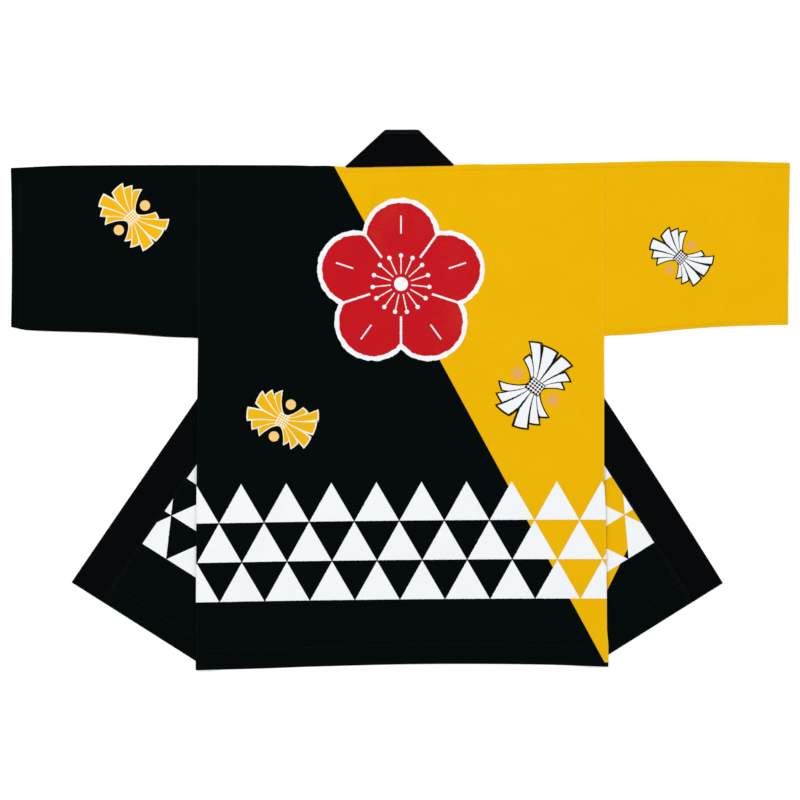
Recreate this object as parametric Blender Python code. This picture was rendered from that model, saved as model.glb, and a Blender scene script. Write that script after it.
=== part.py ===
"""Happi coat laid flat with its back up, each front folded outwards under itself.

Metres. +X runs across the coat from cuff to cuff, +Y towards the collar and +Z up. The
origin is on the floor under the middle of the coat. Left and right are the wearer's,
so the left sleeve lies at -X.

A panel is drawn as its cut: a flat outline that is filled with triangles. The place
of each point of the cut on the laid coat then follows from the panel's fold line and
from the layers under it, and the wall stands half its thickness to each side.
"""

import math
from collections import namedtuple

import bmesh
import bpy
from mathutils import Vector
from mathutils.geometry import delaunay_2d_cdt

# Walls and clearances
CLOTH = 0.001
BAND = 0.002
GAP = 0.0003
LAYER_GAP = 0.0008
HEM_RAISE = 0.0004
HEM_DEPTH = 0.032
CUFF_DEPTH = 0.014
HEM_STEP = 0.003

# Body
SHOULDER_Y = 0.3754
HEM_Y = -0.4325
NECK_LEFT = (-0.0894, 0.3722)
NECK_RIGHT = (0.0861, 0.3757)

# Collar band: its finished width, and the edge that stands out behind the neck
BAND_WIDTH = 0.059
COLLAR_TOP_Y = 0.4320
COLLAR_TOP_LEFT = -0.0246
COLLAR_TOP_RIGHT = 0.0294

# Folds: the arc of cloth in a turned edge, and the slope beside a layer that ends
SHOULDER_ARC = 0.0028
FOLD_HALF_ARC = 0.0010
PLATEAU = 0.004
SLOPE = 0.034
NECK_SLOPE = 0.080
MITRE_RADIUS = 0.0014
COLLAR_LIP = 0.0098
LIP_STEP = 0.002
SEAM_LIFT_WIDTH = 0.012
FOLD_OVERRUN = 0.03
FLAP_HEM_START = 0.02

# Triangles
SPACING = 0.025
LINE_SPACING = 0.027
ROLL_STEPS = 4
SEAM_START = 0.97
NECK_COLUMNS = 6
NECK_ROWS = (0.0, 0.25, 0.5, 0.72)
LIP_ROW = 0.03

# How far points keep from lines and edges, as shares of the spacing
LINE_FROM_EDGE = 0.2
CUT_FROM_EDGE = 0.25
LOOSE_FROM_EDGE = 0.45
LOOSE_FROM_LINE = 0.55

Station = namedtuple("Station", "x y")

SHOULDER_LINE = [
    Station(-0.6232, 0.3711),
    Station(-0.5290, 0.3750),
    Station(-0.1770, 0.3754),
    Station(-0.0894, 0.3728),
    Station(0.0861, 0.3757),
    Station(0.2870, 0.3792),
    Station(0.4670, 0.3826),
    Station(0.6230, 0.3795),
]
BACK_HEM = [
    Station(-0.3274, -0.4325),
    Station(-0.2155, -0.4296),
    Station(-0.1446, -0.4269),
    Station(0.0314, -0.4227),
    Station(0.2198, -0.4234),
    Station(0.3325, -0.4269),
]
BODY_LEFT_EDGE = [
    Station(-0.3274, -0.4325),
    Station(-0.3262, -0.1660),
    Station(-0.3238, 0.0989),
    Station(-0.3238, 0.3800),
]
BODY_RIGHT_EDGE = [
    Station(0.3325, -0.4269),
    Station(0.3302, -0.1680),
    Station(0.3258, -0.1300),
    Station(0.3258, 0.3800),
]
LEFT_UNDERARM = [
    Station(-0.6232, 0.1166),
    Station(-0.5958, 0.1112),
    Station(-0.4614, 0.1066),
    Station(-0.3718, 0.1005),
    Station(-0.3238, 0.0989),
]
RIGHT_UNDERARM = [
    Station(0.3258, 0.1022),
    Station(0.3834, 0.1056),
    Station(0.4618, 0.1134),
    Station(0.5338, 0.1178),
    Station(0.6230, 0.1200),
]

Front = namedtuple(
    "Front", "name sign fold_top fold_hem corner edge_bow body_edge neck_corner"
)

FRONTS = [
    Front(
        name="left",
        sign=-1,
        fold_top=(COLLAR_TOP_LEFT, COLLAR_TOP_Y),
        fold_hem=(-0.3117, -0.4278),
        corner=(-0.5262, -0.2918),
        edge_bow=0.0022,
        body_edge=BODY_LEFT_EDGE,
        neck_corner=NECK_LEFT,
    ),
    Front(
        name="right",
        sign=1,
        fold_top=(COLLAR_TOP_RIGHT, COLLAR_TOP_Y),
        fold_hem=(0.3040, -0.4258),
        corner=(0.5160, -0.2930),
        edge_bow=0.0078,
        body_edge=BODY_RIGHT_EDGE,
        neck_corner=NECK_RIGHT,
    ),
]

Sleeve = namedtuple("Sleeve", "name armhole cuff cuff_bow cuff_tilt underarm")

SLEEVES = [
    Sleeve("left", -0.3238, -0.6230, 0.0016, 0.0002, LEFT_UNDERARM),
    Sleeve("right", 0.3258, 0.6215, 0.0006, 0.0015, RIGHT_UNDERARM),
]
SLEEVE_LOFT = 0.0012
SLEEVE_RINGS = 11
SLEEVE_POINTS = 8

Cloth = namedtuple("Cloth", "colour roughness")

BLACK = Cloth((0.0027, 0.0037, 0.0040, 1.0), 0.85)
YELLOW = Cloth((0.847, 0.463, 0.003, 1.0), 0.80)


def clear_scene():
    """Removes every object of the open scene."""
    for old in list(bpy.data.objects):
        bpy.data.objects.remove(old, do_unlink=True)


def blend(share):
    """Smooth step from 0 to 1."""
    share = min(1.0, max(0.0, share))
    return share * share * (3 - 2 * share)


def along(stations, x):
    """The y of a smooth line through stations that are sorted by x."""
    last = len(stations) - 1
    i = 0
    while i < last - 1 and x > stations[i + 1].x:
        i += 1
    a, b = stations[i], stations[i + 1]
    before, after = stations[max(0, i - 1)], stations[min(last, i + 2)]
    span = b.x - a.x
    u = min(1.0, max(0.0, (x - a.x) / span))
    start = span * (b.y - before.y) / (b.x - before.x)
    end = span * (after.y - a.y) / (after.x - a.x)
    u2, u3 = u * u, u * u * u
    return (
        (2 * u3 - 3 * u2 + 1) * a.y
        + (u3 - 2 * u2 + u) * start
        + (3 * u2 - 2 * u3) * b.y
        + (u3 - u2) * end
    )


def edge_x(stations, y):
    """The x of a side edge whose stations are sorted by y."""
    for a, b in zip(stations, stations[1:]):
        if y <= b.y:
            break
    share = min(1.0, max(0.0, (y - a.y) / (b.y - a.y)))
    return a.x + share * (b.x - a.x)


def shoulder_tangent(x):
    """Where the back starts to turn over the shoulder."""
    return along(SHOULDER_LINE, x) - (CLOTH + LAYER_GAP) / 2 - CLOTH / 2


def polyline(start, end, spacing):
    """Points from start up to, but without, end."""
    start, end = Vector(start), Vector(end)
    count = max(1, round((end - start).length / spacing))
    return [start.lerp(end, i / count) for i in range(count)]


def inside(polygon, p):
    """Whether p lies in the polygon."""
    odd = False
    for a, b in zip(polygon, polygon[1:] + polygon[:1]):
        if (a.y > p.y) != (b.y > p.y):
            if p.x < a.x + (p.y - a.y) * (b.x - a.x) / (b.y - a.y):
                odd = not odd
    return odd


def border_distance(polygon, p):
    """How far p is from the polygon's border."""
    nearest = math.inf
    for a, b in zip(polygon, polygon[1:] + polygon[:1]):
        side = b - a
        share = (p - a).dot(side) / max(side.length_squared, 1e-12)
        nearest = min(nearest, (a + side * min(1.0, max(0.0, share)) - p).length)
    return nearest


def cover(polygon, p, slope=SLOPE):
    """1 over the polygon and a little past it, falling smoothly to 0."""
    if inside(polygon, p):
        return 1.0
    return 1.0 - blend((border_distance(polygon, p) - PLATEAU) / slope)


def half(polygon, origin, normal):
    """The part of the polygon on the side of the line that normal points to."""
    kept = []
    for a, b in zip(polygon, polygon[1:] + polygon[:1]):
        da, db = (a - origin).dot(normal), (b - origin).dot(normal)
        if da >= 0:
            kept.append(a)
        if (da < 0) != (db < 0):
            kept.append(a.lerp(b, da / (da - db)))
    return kept


class FrontSide:
    """One front with its collar band: its cut, its fold and the areas its layers cover."""

    def __init__(self, front):
        self.front = front
        self.top, self.hem = Vector(front.fold_top), Vector(front.fold_hem)
        self.down = (self.hem - self.top).normalized()
        self.inward = Vector((-self.down.y, self.down.x))
        if self.inward.x * front.sign > 0:
            self.inward.negate()
        self.edge_end = self.mirror(Vector(front.corner))
        run = self.edge_end - self.top
        self.run_length = run.length
        self.run = run.normalized()
        self.across = Vector((self.run.y, -self.run.x))
        if self.across.x * front.sign < 0:
            self.across.negate()
        self.hem_line = (self.hem - self.edge_end).normalized()
        self.front_cut = self.make_front_cut()
        self.band_cut = self.make_band_cut()
        band_low = half(self.band_cut, self.top, self.inward)
        front_low = half(self.front_cut, self.top, self.inward)
        self.band_up = half(self.band_cut, self.top, -self.inward)
        self.front_up = half(self.front_cut, self.top, -self.inward)
        self.band_low = [self.mirror(p) for p in band_low]
        self.front_low = [self.mirror(p) for p in front_low]

    def mirror(self, p):
        """The place of p once it is folded over the fold line."""
        return p - 2 * (p - self.top).dot(self.inward) * self.inward

    def edge(self, share, width):
        """A point of the cut, width in from the collar's free edge, share of the way down."""
        bow = 4 * self.front.edge_bow * max(0.0, share) * (1 - share)
        return self.top + self.run * (share * self.run_length) + self.across * (width - bow)

    def hem_point(self, width):
        """Where the line that is width in from the free edge meets the hem."""
        reach = width / abs(self.across.dot(self.hem_line))
        return self.edge_end + self.hem_line * reach

    def seam(self):
        """The collar seam's points from the hem up to the shoulder."""
        width = BAND_WIDTH + GAP
        points = [self.hem_point(width)]
        share = SEAM_START
        while True:
            p = self.edge(share, width)
            top = shoulder_tangent(p.x) - GAP
            if p.y > top:
                below = points[-1]
                points.append(below.lerp(p, (top - below.y) / (p.y - below.y)))
                return points
            points.append(p)
            share -= LINE_SPACING / self.run_length

    def make_front_cut(self):
        """The front panel's outline, from the collar seam at the hem round by the shoulder."""
        front = self.front
        seam = self.seam()
        side_hem_x = edge_x(front.body_edge, self.hem.y)
        slope = self.hem_line.y / self.hem_line.x
        side_hem = Vector((side_hem_x, self.hem.y + slope * (side_hem_x - self.hem.x)))
        side_top_x = edge_x(front.body_edge, SHOULDER_Y)
        side_top = Vector((side_top_x, shoulder_tangent(side_top_x) - GAP))
        shoulder = polyline(seam[-1], side_top, LINE_SPACING)
        for p in shoulder[1:]:
            p.y = shoulder_tangent(p.x) - GAP
        side = polyline(side_top, side_hem, LINE_SPACING)
        for p in side[1:]:
            p.x = edge_x(front.body_edge, p.y)
        return seam[:-1] + shoulder + side + polyline(side_hem, seam[0], LINE_SPACING)

    def make_band_cut(self):
        """The collar band's outline, from its free edge at the hem up to the mitre and back."""
        mitre = Vector(self.front.neck_corner) - self.top
        mitre_normal = Vector((mitre.y, -mitre.x)).normalized()
        if mitre_normal.y > 0:
            mitre_normal.negate()
        mitre_origin = self.top + mitre_normal * (MITRE_RADIUS + BAND / 2 + GAP)
        rows = round(self.run_length / LINE_SPACING)
        free = [self.edge_end] + [self.edge(1 - i / rows, 0) for i in range(1, rows)]
        free.append(self.edge(0, 0) - self.run * BAND_WIDTH)
        seam = [self.edge(-BAND_WIDTH / self.run_length, BAND_WIDTH)]
        seam += [self.edge(i / rows, BAND_WIDTH) for i in range(1, rows)]
        seam.append(self.hem_point(BAND_WIDTH))
        return half(free + seam, mitre_origin, mitre_normal)

    def fold_offset(self, p):
        """How far p of the cut lies past the fold line."""
        return (p - self.top).dot(self.inward)

    def layer_height(self, p):
        """Middle of the upper layer's wall at a place on the laid coat."""
        flap = max(cover(self.front_low, p), cover(self.band_low, p), cover(self.band_up, p))
        band = max(cover(self.band_low, p), cover(self.band_up, p))
        neck = cover(self.band_up, p)
        return (
            CLOTH / 2
            + (CLOTH + LAYER_GAP) * flap
            + (BAND - CLOTH) * band
            + (BAND - CLOTH) / 2 * neck
        )

    def back_height(self, p):
        """Middle of the back's wall over this front."""
        neck = cover(self.band_up, p)
        front = max(cover(self.front_up, p), neck)
        return self.layer_height(p) + (CLOTH + LAYER_GAP) * front + (BAND - CLOTH) / 2 * neck

    def lower_height(self, p):
        """Middle of the folded layer's wall: on the floor, lifted to the band's at its seam."""
        away = 0.0 if inside(self.band_low, p) else border_distance(self.band_low, p)
        return CLOTH / 2 + (BAND - CLOTH) / 2 * (1 - blend(away / SEAM_LIFT_WIDTH))

    def place(self, p):
        """The wall's middle and its direction for a point of this side's cut."""
        offset = self.fold_offset(p)
        if offset <= -FOLD_HALF_ARC:
            return Vector((p.x, p.y, self.layer_height(p))), Vector((0, 0, 1))
        if offset >= FOLD_HALF_ARC:
            over = self.mirror(p)
            return Vector((over.x, over.y, self.lower_height(over))), Vector((0, 0, -1))
        base = p - self.inward * (offset + FOLD_HALF_ARC)
        upper, lower = self.layer_height(base), self.lower_height(base)
        angle = offset / FOLD_HALF_ARC * math.pi / 2
        radius = (upper - lower) / 2
        out = Vector((self.inward.x, self.inward.y, 0)) * math.cos(angle)
        direction = out + Vector((0, 0, -math.sin(angle)))
        middle = Vector((base.x, base.y, (upper + lower) / 2)) + direction * radius
        return middle, direction

    def fold_lines(self):
        """The cut's lines along the turn of the fold."""
        ends = self.top - self.down * FOLD_OVERRUN, self.hem + self.down * FOLD_OVERRUN
        offsets = [FOLD_HALF_ARC * (2 * i / ROLL_STEPS - 1) for i in range(ROLL_STEPS + 1)]
        return [[end + self.inward * offset for end in ends] for offset in offsets]

    def drop_lines(self):
        """Lines past the folded collar's free edge, where the layers above come down."""
        rows = round(self.run_length / LINE_SPACING)
        lines = []
        for away in (PLATEAU, PLATEAU + SLOPE / 2, PLATEAU + SLOPE):
            points = [self.mirror(self.edge(i / rows, -away)) for i in range(2, rows + 1)]
            lines.append(points)
        return lines

    def open_lines(self):
        """Lines past the fold on its open side, where the back comes down to the floor."""
        count = round((self.hem - self.top).length / LINE_SPACING)
        lines = []
        for away in (PLATEAU, PLATEAU + SLOPE / 2, PLATEAU + SLOPE):
            start = self.top + self.inward * away
            end = self.hem + self.inward * away
            lines.append([start.lerp(end, i / count) for i in range(1, count + 1)])
        return lines

    def hem_raise(self, p):
        """How much the turned-up hem adds to the flap's upper face."""
        height = abs((p - self.hem).dot(Vector((-self.hem_line.y, self.hem_line.x))))
        past = self.fold_offset(p)
        started = blend((past - FLAP_HEM_START) / FLAP_HEM_START)
        return HEM_RAISE * (1 - blend((height - HEM_DEPTH) / HEM_STEP)) * started


def filled(outline, lines, spacing, cuts=()):
    """Triangulates the outline with the lines in it, and loose points between them.

    Lines are kept where they lie inside, and cuts run right through the outline.
    """
    points = [Vector(p) for p in outline]
    count = len(points)
    edges = [(i, (i + 1) % count) for i in range(count)]
    for line in lines:
        previous = None
        for p in line:
            free = inside(outline, p) and border_distance(outline, p) > LINE_FROM_EDGE * spacing
            if free:
                points.append(p)
                if previous is not None:
                    edges.append((previous, len(points) - 1))
            previous = len(points) - 1 if free else None
    fixed = list(points)
    for a, b in cuts:
        steps = round((b - a).length / spacing)
        line = [a.lerp(b, i / steps) for i in range(1, steps)]
        clearance = CUT_FROM_EDGE * spacing
        line = [a] + [p for p in line if border_distance(outline, p) > clearance] + [b]
        first = len(points)
        points += line
        fixed += line
        edges += [(first + i, first + i + 1) for i in range(len(line) - 1)]
    low = Vector((min(p.x for p in outline), min(p.y for p in outline)))
    high = Vector((max(p.x for p in outline), max(p.y for p in outline)))
    row_height = spacing * math.sqrt(3) / 2
    for row in range(1, math.ceil((high.y - low.y) / row_height)):
        shift = spacing / 2 if row % 2 else 0.0
        for column in range(math.ceil((high.x - low.x) / spacing)):
            p = Vector((low.x + shift + column * spacing, low.y + row * row_height))
            if not inside(outline, p) or border_distance(outline, p) < LOOSE_FROM_EDGE * spacing:
                continue
            if all((p - q).length > LOOSE_FROM_LINE * spacing for q in fixed):
                points.append(p)
    found, _, faces, _, _, _ = delaunay_2d_cdt(points, edges, [list(range(count))], 1, 1e-7)
    used = sorted({i for face in faces for i in face})
    place = {old: new for new, old in enumerate(used)}
    flat = [Vector(found[i]) for i in used]
    triangles = []
    for a, b, c in (tuple(place[i] for i in face) for face in faces):
        area = (flat[b] - flat[a]).cross(flat[c] - flat[a])
        triangles.append((a, b, c) if area > 0 else (c, b, a))
    return flat, triangles


def wall_mesh(name, flat, triangles, place, thickness, outer_raise=None, inner_raise=None):
    """A closed wall round the placed points: two faces and the rim between them."""
    outer, inner = [], []
    for p in flat:
        middle, direction = place(p)
        up = outer_raise(p) if outer_raise else 0.0
        down = inner_raise(p) if inner_raise else 0.0
        outer.append(middle + direction * (thickness / 2 + up))
        inner.append(middle - direction * (thickness / 2 + down))
    shift = len(outer)
    faces = list(triangles)
    faces += [(c + shift, b + shift, a + shift) for a, b, c in triangles]
    sides = {(a, b) for t in triangles for a, b in zip(t, t[1:] + t[:1])}
    for a, b in sorted(sides):
        if (b, a) not in sides:
            faces.append((b, a, a + shift))
            faces.append((b, a + shift, b + shift))
    mesh = bpy.data.meshes.new(name)
    mesh.from_pydata(outer + inner, [], faces)
    return mesh


def ring_mesh(name, rings):
    """A tube wall: each ring is a pair of closed loops, the outer and the inner one."""
    verts, faces = [], []
    size = len(rings[0][0])
    for outer, inner in rings:
        verts += outer + inner

    def at(ring, layer, i):
        return (2 * ring + layer) * size + i % size

    for ring in range(len(rings) - 1):
        for i in range(size):
            a, b = at(ring, 0, i), at(ring, 0, i + 1)
            c, d = at(ring + 1, 0, i + 1), at(ring + 1, 0, i)
            faces += [(a, b, c), (a, c, d)]
            a, b = at(ring, 1, i), at(ring, 1, i + 1)
            c, d = at(ring + 1, 1, i + 1), at(ring + 1, 1, i)
            faces += [(c, b, a), (d, c, a)]
    last = len(rings) - 1
    for i in range(size):
        a, b, c, d = at(0, 0, i), at(0, 0, i + 1), at(0, 1, i + 1), at(0, 1, i)
        faces += [(c, b, a), (d, c, a)]
        a, b, c, d = at(last, 0, i), at(last, 0, i + 1), at(last, 1, i + 1), at(last, 1, i)
        faces += [(a, b, c), (a, c, d)]
    mesh = bpy.data.meshes.new(name)
    mesh.from_pydata(verts, [], faces)
    return mesh


def turned(flat_point, out, upper, lower, share):
    """The wall's middle and direction, share of the way round an edge that turns down."""
    angle = (share - 0.5) * math.pi
    direction = Vector((out.x, out.y, 0)) * math.cos(angle) + Vector((0, 0, -math.sin(angle)))
    middle = Vector((flat_point.x, flat_point.y, (upper + lower) / 2))
    return middle + direction * (upper - lower) / 2, direction


def sleeve_section(sleeve, share):
    """A ring of a flattened sleeve, share of the way from the armhole to the cuff.

    Returns its outer and its inner loop of points.
    """
    outward = math.copysign(1, sleeve.cuff)
    armhole = sleeve.armhole + outward * GAP
    at_x = armhole + share * (sleeve.cuff - armhole)
    low, high = CLOTH / 2, CLOTH / 2 + CLOTH + LAYER_GAP
    radius = (high - low) / 2
    top = along(SHOULDER_LINE, at_x) - radius - CLOTH / 2
    bottom = along(sleeve.underarm, at_x) + radius + CLOTH / 2
    left_over = abs(sleeve.cuff - armhole) * (1 - share)
    raised = HEM_RAISE * (1 - blend((left_over - CUFF_DEPTH) / HEM_STEP))
    loft = SLEEVE_LOFT * math.sin(math.pi * min(share, 1 - share * 0.15)) ** 2
    loop = []
    for i in range(SLEEVE_POINTS + 1):
        across = i / SLEEVE_POINTS
        lift = loft * math.sin(math.pi * across) ** 2
        middle = Vector((at_x, bottom + across * (top - bottom), high + lift))
        loop.append((middle, Vector((0, 0, 1)), raised))
    for i in range(1, ROLL_STEPS):
        place = turned(Vector((at_x, top)), Vector((0, 1)), high, low, i / ROLL_STEPS)
        loop.append((*place, 0.0))
    for i in range(SLEEVE_POINTS + 1):
        across = 1 - i / SLEEVE_POINTS
        middle = Vector((at_x, bottom + across * (top - bottom), low))
        loop.append((middle, Vector((0, 0, -1)), 0.0))
    for i in range(1, ROLL_STEPS):
        place = turned(Vector((at_x, bottom)), Vector((0, -1)), high, low, 1 - i / ROLL_STEPS)
        loop.append((*place, 0.0))
    centre, reach = (top + bottom) / 2, (top - bottom) / 2
    for middle, _, _ in loop:
        height = (middle.y - centre) / reach
        bow = sleeve.cuff_bow * (1 - min(1.0, height * height))
        middle.x += outward * share * (sleeve.cuff_tilt * height - bow)
    outer = [middle + way * (CLOTH / 2 + up) for middle, way, up in loop]
    inner = [middle - way * CLOTH / 2 for middle, way, _ in loop]
    return outer, inner


def sleeve_tube(sleeve, look):
    """A sleeve, pressed flat, open at the armhole and at the cuff."""
    length = abs(sleeve.cuff - sleeve.armhole)
    even = [i / (SLEEVE_RINGS - 2) for i in range(SLEEVE_RINGS - 2)]
    hem = [1 - (CUFF_DEPTH + HEM_STEP) / length, 1 - CUFF_DEPTH / length, 1.0]
    rings = [sleeve_section(sleeve, share) for share in even + hem]
    name = "sleeve_" + sleeve.name
    return add_piece(name, ring_mesh(name, rings), look)


class NeckBand:
    """The collar behind the neck, its mitred ends turned under."""

    def __init__(self, sides):
        self.sides = sides
        self.height = CLOTH / 2 + 2 * (BAND + LAYER_GAP) + (BAND - CLOTH) / 2
        inset = MITRE_RADIUS + BAND / 2
        self.ends = []
        for side in sides:
            corner, top = Vector(side.front.neck_corner), side.top
            line = (top - corner).normalized()
            out = Vector((-line.y, line.x))
            if out.y < 0:
                out.negate()
            low = corner - out * inset
            base = shoulder_tangent(low.x) + GAP
            low += line * (base - low.y) / line.y
            high = top - out * inset
            high += line * (COLLAR_TOP_Y - high.y) / line.y
            self.ends.append((low, high, out))

    def place(self, p):
        """The wall's middle and direction: x is across, past 0 and 1 in the turned ends.

        The turned ends slide down along the mitre, so that they end level with the top.
        """
        (low_l, high_l, out_l), (low_r, high_r, out_r) = self.ends
        left, right = low_l.lerp(high_l, p.y), low_r.lerp(high_r, p.y)
        if 0 <= p.x <= 1:
            flat = left.lerp(right, p.x)
            return Vector((flat.x, flat.y, self.height)), Vector((0, 0, 1))
        side, flat, out = (0, left, out_l) if p.x < 0 else (1, right, out_r)
        share = -p.x if p.x < 0 else p.x - 1
        lower = self.sides[side].layer_height(flat)
        middle, direction = turned(flat, out, self.height, lower, share)
        low, high, _ = self.ends[side]
        rise = middle.y + direction.y * BAND / 2 - flat.y
        down = (low - high) / (high.y - low.y) * (rise * p.y)
        return middle + Vector((down.x, down.y, 0)), direction

    def lip(self, p):
        """The upper face is a little higher below the strip along its top edge."""
        (low, high, _), _ = self.ends
        left_over = (1 - p.y) * (high.y - low.y)
        return HEM_RAISE * blend((left_over - COLLAR_LIP) / LIP_STEP) if 0 <= p.x <= 1 else 0.0

    def grid(self):
        """Columns and rows of the cut."""
        turn = [i / ROLL_STEPS for i in range(1, ROLL_STEPS + 1)]
        columns = [-share for share in reversed(turn)] + [i / NECK_COLUMNS for i in range(NECK_COLUMNS + 1)]
        columns += [1 + share for share in turn]
        (low, high, _), _ = self.ends
        strip = COLLAR_LIP / (high.y - low.y)
        rows = [*NECK_ROWS, 1 - strip - LIP_ROW, 1 - strip, 1.0]
        return columns, rows


def neck_band(band, look):
    """The collar band behind the neck."""
    columns, rows = band.grid()
    flat = [Vector((x, y)) for y in rows for x in columns]
    size = len(columns)
    triangles = []
    for row in range(len(rows) - 1):
        for i in range(size - 1):
            a = row * size + i
            triangles += [(a, a + 1, a + size + 1), (a, a + size + 1, a + size)]
    mesh = wall_mesh("collar_neck", flat, triangles, band.place, BAND, band.lip)
    return add_piece("collar_neck", mesh, look)


def material(name, cloth):
    """A plain cloth material."""
    made = bpy.data.materials.new(name)
    made.use_nodes = True
    shader = made.node_tree.nodes["Principled BSDF"]
    shader.inputs["Base Color"].default_value = cloth.colour
    shader.inputs["Roughness"].default_value = cloth.roughness
    shader.inputs["Metallic"].default_value = 0.0
    made.diffuse_color = cloth.colour
    return made


def add_piece(name, mesh, look):
    """Links the mesh as one named solid, its faces pointing out, shaded smooth."""
    solid = bmesh.new()
    solid.from_mesh(mesh)
    bmesh.ops.recalc_face_normals(solid, faces=solid.faces)
    solid.to_mesh(mesh)
    solid.free()
    mesh.materials.append(look)
    mesh.shade_smooth()
    mesh.set_sharp_from_angle(angle=math.radians(35))
    piece = bpy.data.objects.new(name, mesh)
    bpy.context.scene.collection.objects.link(piece)
    return piece


def neck_outline():
    """The collar behind the neck as it lies: base from left to right, then the top edge."""
    left, right = Vector(NECK_LEFT), Vector(NECK_RIGHT)
    top_right = Vector((COLLAR_TOP_RIGHT, COLLAR_TOP_Y))
    top_left = Vector((COLLAR_TOP_LEFT, COLLAR_TOP_Y))
    return [left, right, top_right, top_left]


class Back:
    """The back panel over both fronts."""

    def __init__(self, sides):
        self.sides = sides
        self.neck = neck_outline()

    def height(self, p):
        """Middle of the wall: over the fronts, held up at the neck, else on the floor."""
        held = cover(self.neck, p, NECK_SLOPE)
        top = CLOTH / 2 + 2 * (BAND + LAYER_GAP)
        hung = CLOTH / 2 + (top - CLOTH / 2) * held
        return max(hung, *(side.back_height(p) for side in self.sides))

    def front_height(self, p):
        """Middle of the front's wall, which the shoulder's turn comes down to."""
        return self.sides[0 if p.x < 0 else 1].layer_height(p)

    def place(self, p):
        """The wall's middle and its direction for a point of the cut."""
        tangent = shoulder_tangent(p.x)
        past = p.y - tangent
        if past <= 0:
            return Vector((p.x, p.y, self.height(p))), Vector((0, 0, 1))
        base = Vector((p.x, tangent))
        upper, lower = self.height(base), self.front_height(base)
        return turned(base, Vector((0, 1)), upper, lower, past / SHOULDER_ARC)

    def hem_raise(self, p):
        """How much the turned-up hem adds to the upper face."""
        above = p.y - along(BACK_HEM, p.x)
        return HEM_RAISE * (1 - blend((above - HEM_DEPTH) / HEM_STEP))

    def side_points(self, edge, upwards):
        """Points of a side edge from the hem to the shoulder's tangent, or back."""
        low = Vector((edge[0].x, edge[0].y))
        top_x = edge_x(edge, SHOULDER_Y)
        high = Vector((top_x, shoulder_tangent(top_x)))
        points = polyline(low, high, LINE_SPACING) + [high]
        for p in points:
            p.x = edge_x(edge, p.y)
        return points if upwards else points[::-1]

    def shoulder_points(self, start, end, rise):
        """Points of a shoulder edge from x to x, rise past the tangent."""
        count = max(1, round(abs(end - start) / LINE_SPACING))
        xs = [start + (end - start) * i / count for i in range(count + 1)]
        return [Vector((x, shoulder_tangent(x) + rise)) for x in xs]

    def cut(self):
        """The body's outline: hem from the left, right side, shoulders and left side."""
        hem_count = round((BACK_HEM[-1].x - BACK_HEM[0].x) / LINE_SPACING)
        outline = []
        for i in range(hem_count):
            x = BACK_HEM[0].x + (BACK_HEM[-1].x - BACK_HEM[0].x) * i / hem_count
            outline.append(Vector((x, along(BACK_HEM, x))))
        outline += self.side_points(BODY_RIGHT_EDGE, True)
        right, left = edge_x(BODY_RIGHT_EDGE, SHOULDER_Y), edge_x(BODY_LEFT_EDGE, SHOULDER_Y)
        stops = [right, NECK_RIGHT[0], NECK_LEFT[0], left]
        for start, end in zip(stops, stops[1:]):
            outline += self.shoulder_points(start, end, 0.0)[1:]
        return outline + self.side_points(BODY_LEFT_EDGE, False)[1:-1]


def nearest(flat, p):
    """Index of the point of flat that is nearest to p."""
    return min(range(len(flat)), key=lambda i: (flat[i] - p).length_squared)


def back_panel(back, look):
    """The back: the body is filled, and the turns over the shoulder are rows along it."""
    body = back.cut()
    hem_line = [
        Vector((p.x, along(BACK_HEM, p.x) + HEM_DEPTH))
        for p in body
        if p.y < HEM_Y + HEM_DEPTH / 2
    ]
    lines = [hem_line]
    for side in back.sides:
        lines += side.open_lines() + side.drop_lines()
    flat, triangles = filled(body, lines, SPACING)
    left, right = edge_x(BODY_LEFT_EDGE, SHOULDER_Y), edge_x(BODY_RIGHT_EDGE, SHOULDER_Y)
    for start, end in ((left, NECK_LEFT[0]), (NECK_RIGHT[0], right)):
        ids = [nearest(flat, p) for p in back.shoulder_points(start, end, 0.0)]
        for step in range(1, ROLL_STEPS + 1):
            row = back.shoulder_points(start, end, SHOULDER_ARC * step / ROLL_STEPS)
            row_ids = list(range(len(flat), len(flat) + len(row)))
            flat += row
            for i in range(len(ids) - 1):
                a, b, c, d = ids[i], ids[i + 1], row_ids[i + 1], row_ids[i]
                triangles += [(a, b, c), (a, c, d)]
            ids = row_ids
    mesh = wall_mesh("back_panel", flat, triangles, back.place, CLOTH, back.hem_raise)
    return add_piece("back_panel", mesh, look)


def front_panel(side, look):
    """A front, folded outwards under itself."""
    name = "front_" + side.front.name
    flat, triangles = filled(side.front_cut, side.drop_lines(), SPACING, side.fold_lines())
    mesh = wall_mesh(name, flat, triangles, side.place, CLOTH, None, side.hem_raise)
    return add_piece(name, mesh, look)


def collar_band(side, look):
    """The collar band of a front, folded over with it."""
    name = "collar_" + side.front.name
    flat, triangles = filled(side.band_cut, [], SPACING, side.fold_lines())
    mesh = wall_mesh(name, flat, triangles, side.place, BAND)
    return add_piece(name, mesh, look)


def main():
    """Builds the whole coat."""
    clear_scene()
    black = material("black_cotton", BLACK)
    yellow = material("yellow_cotton", YELLOW)
    sides = [FrontSide(front) for front in FRONTS]
    back_panel(Back(sides), black)
    for side in sides:
        front_panel(side, black)
        collar_band(side, black)
    neck_band(NeckBand(sides), black)
    for sleeve, look in zip(SLEEVES, (black, yellow)):
        sleeve_tube(sleeve, look)


if __name__ == "__main__":
    main()
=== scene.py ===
"""Dresses the happi coat that lies flat with its back up.

Every panel is drawn again as its own cut, in metres, and laid by the same folds as the
solid that it replaces: first the flat outline, then the height of each point over the
layers under it. Prints are worked out in the cut's own coordinates, so they run over the
folds as ink on the cloth does. Left and right are the wearer's: the left sleeve lies at -X.
"""

from __future__ import annotations

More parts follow.
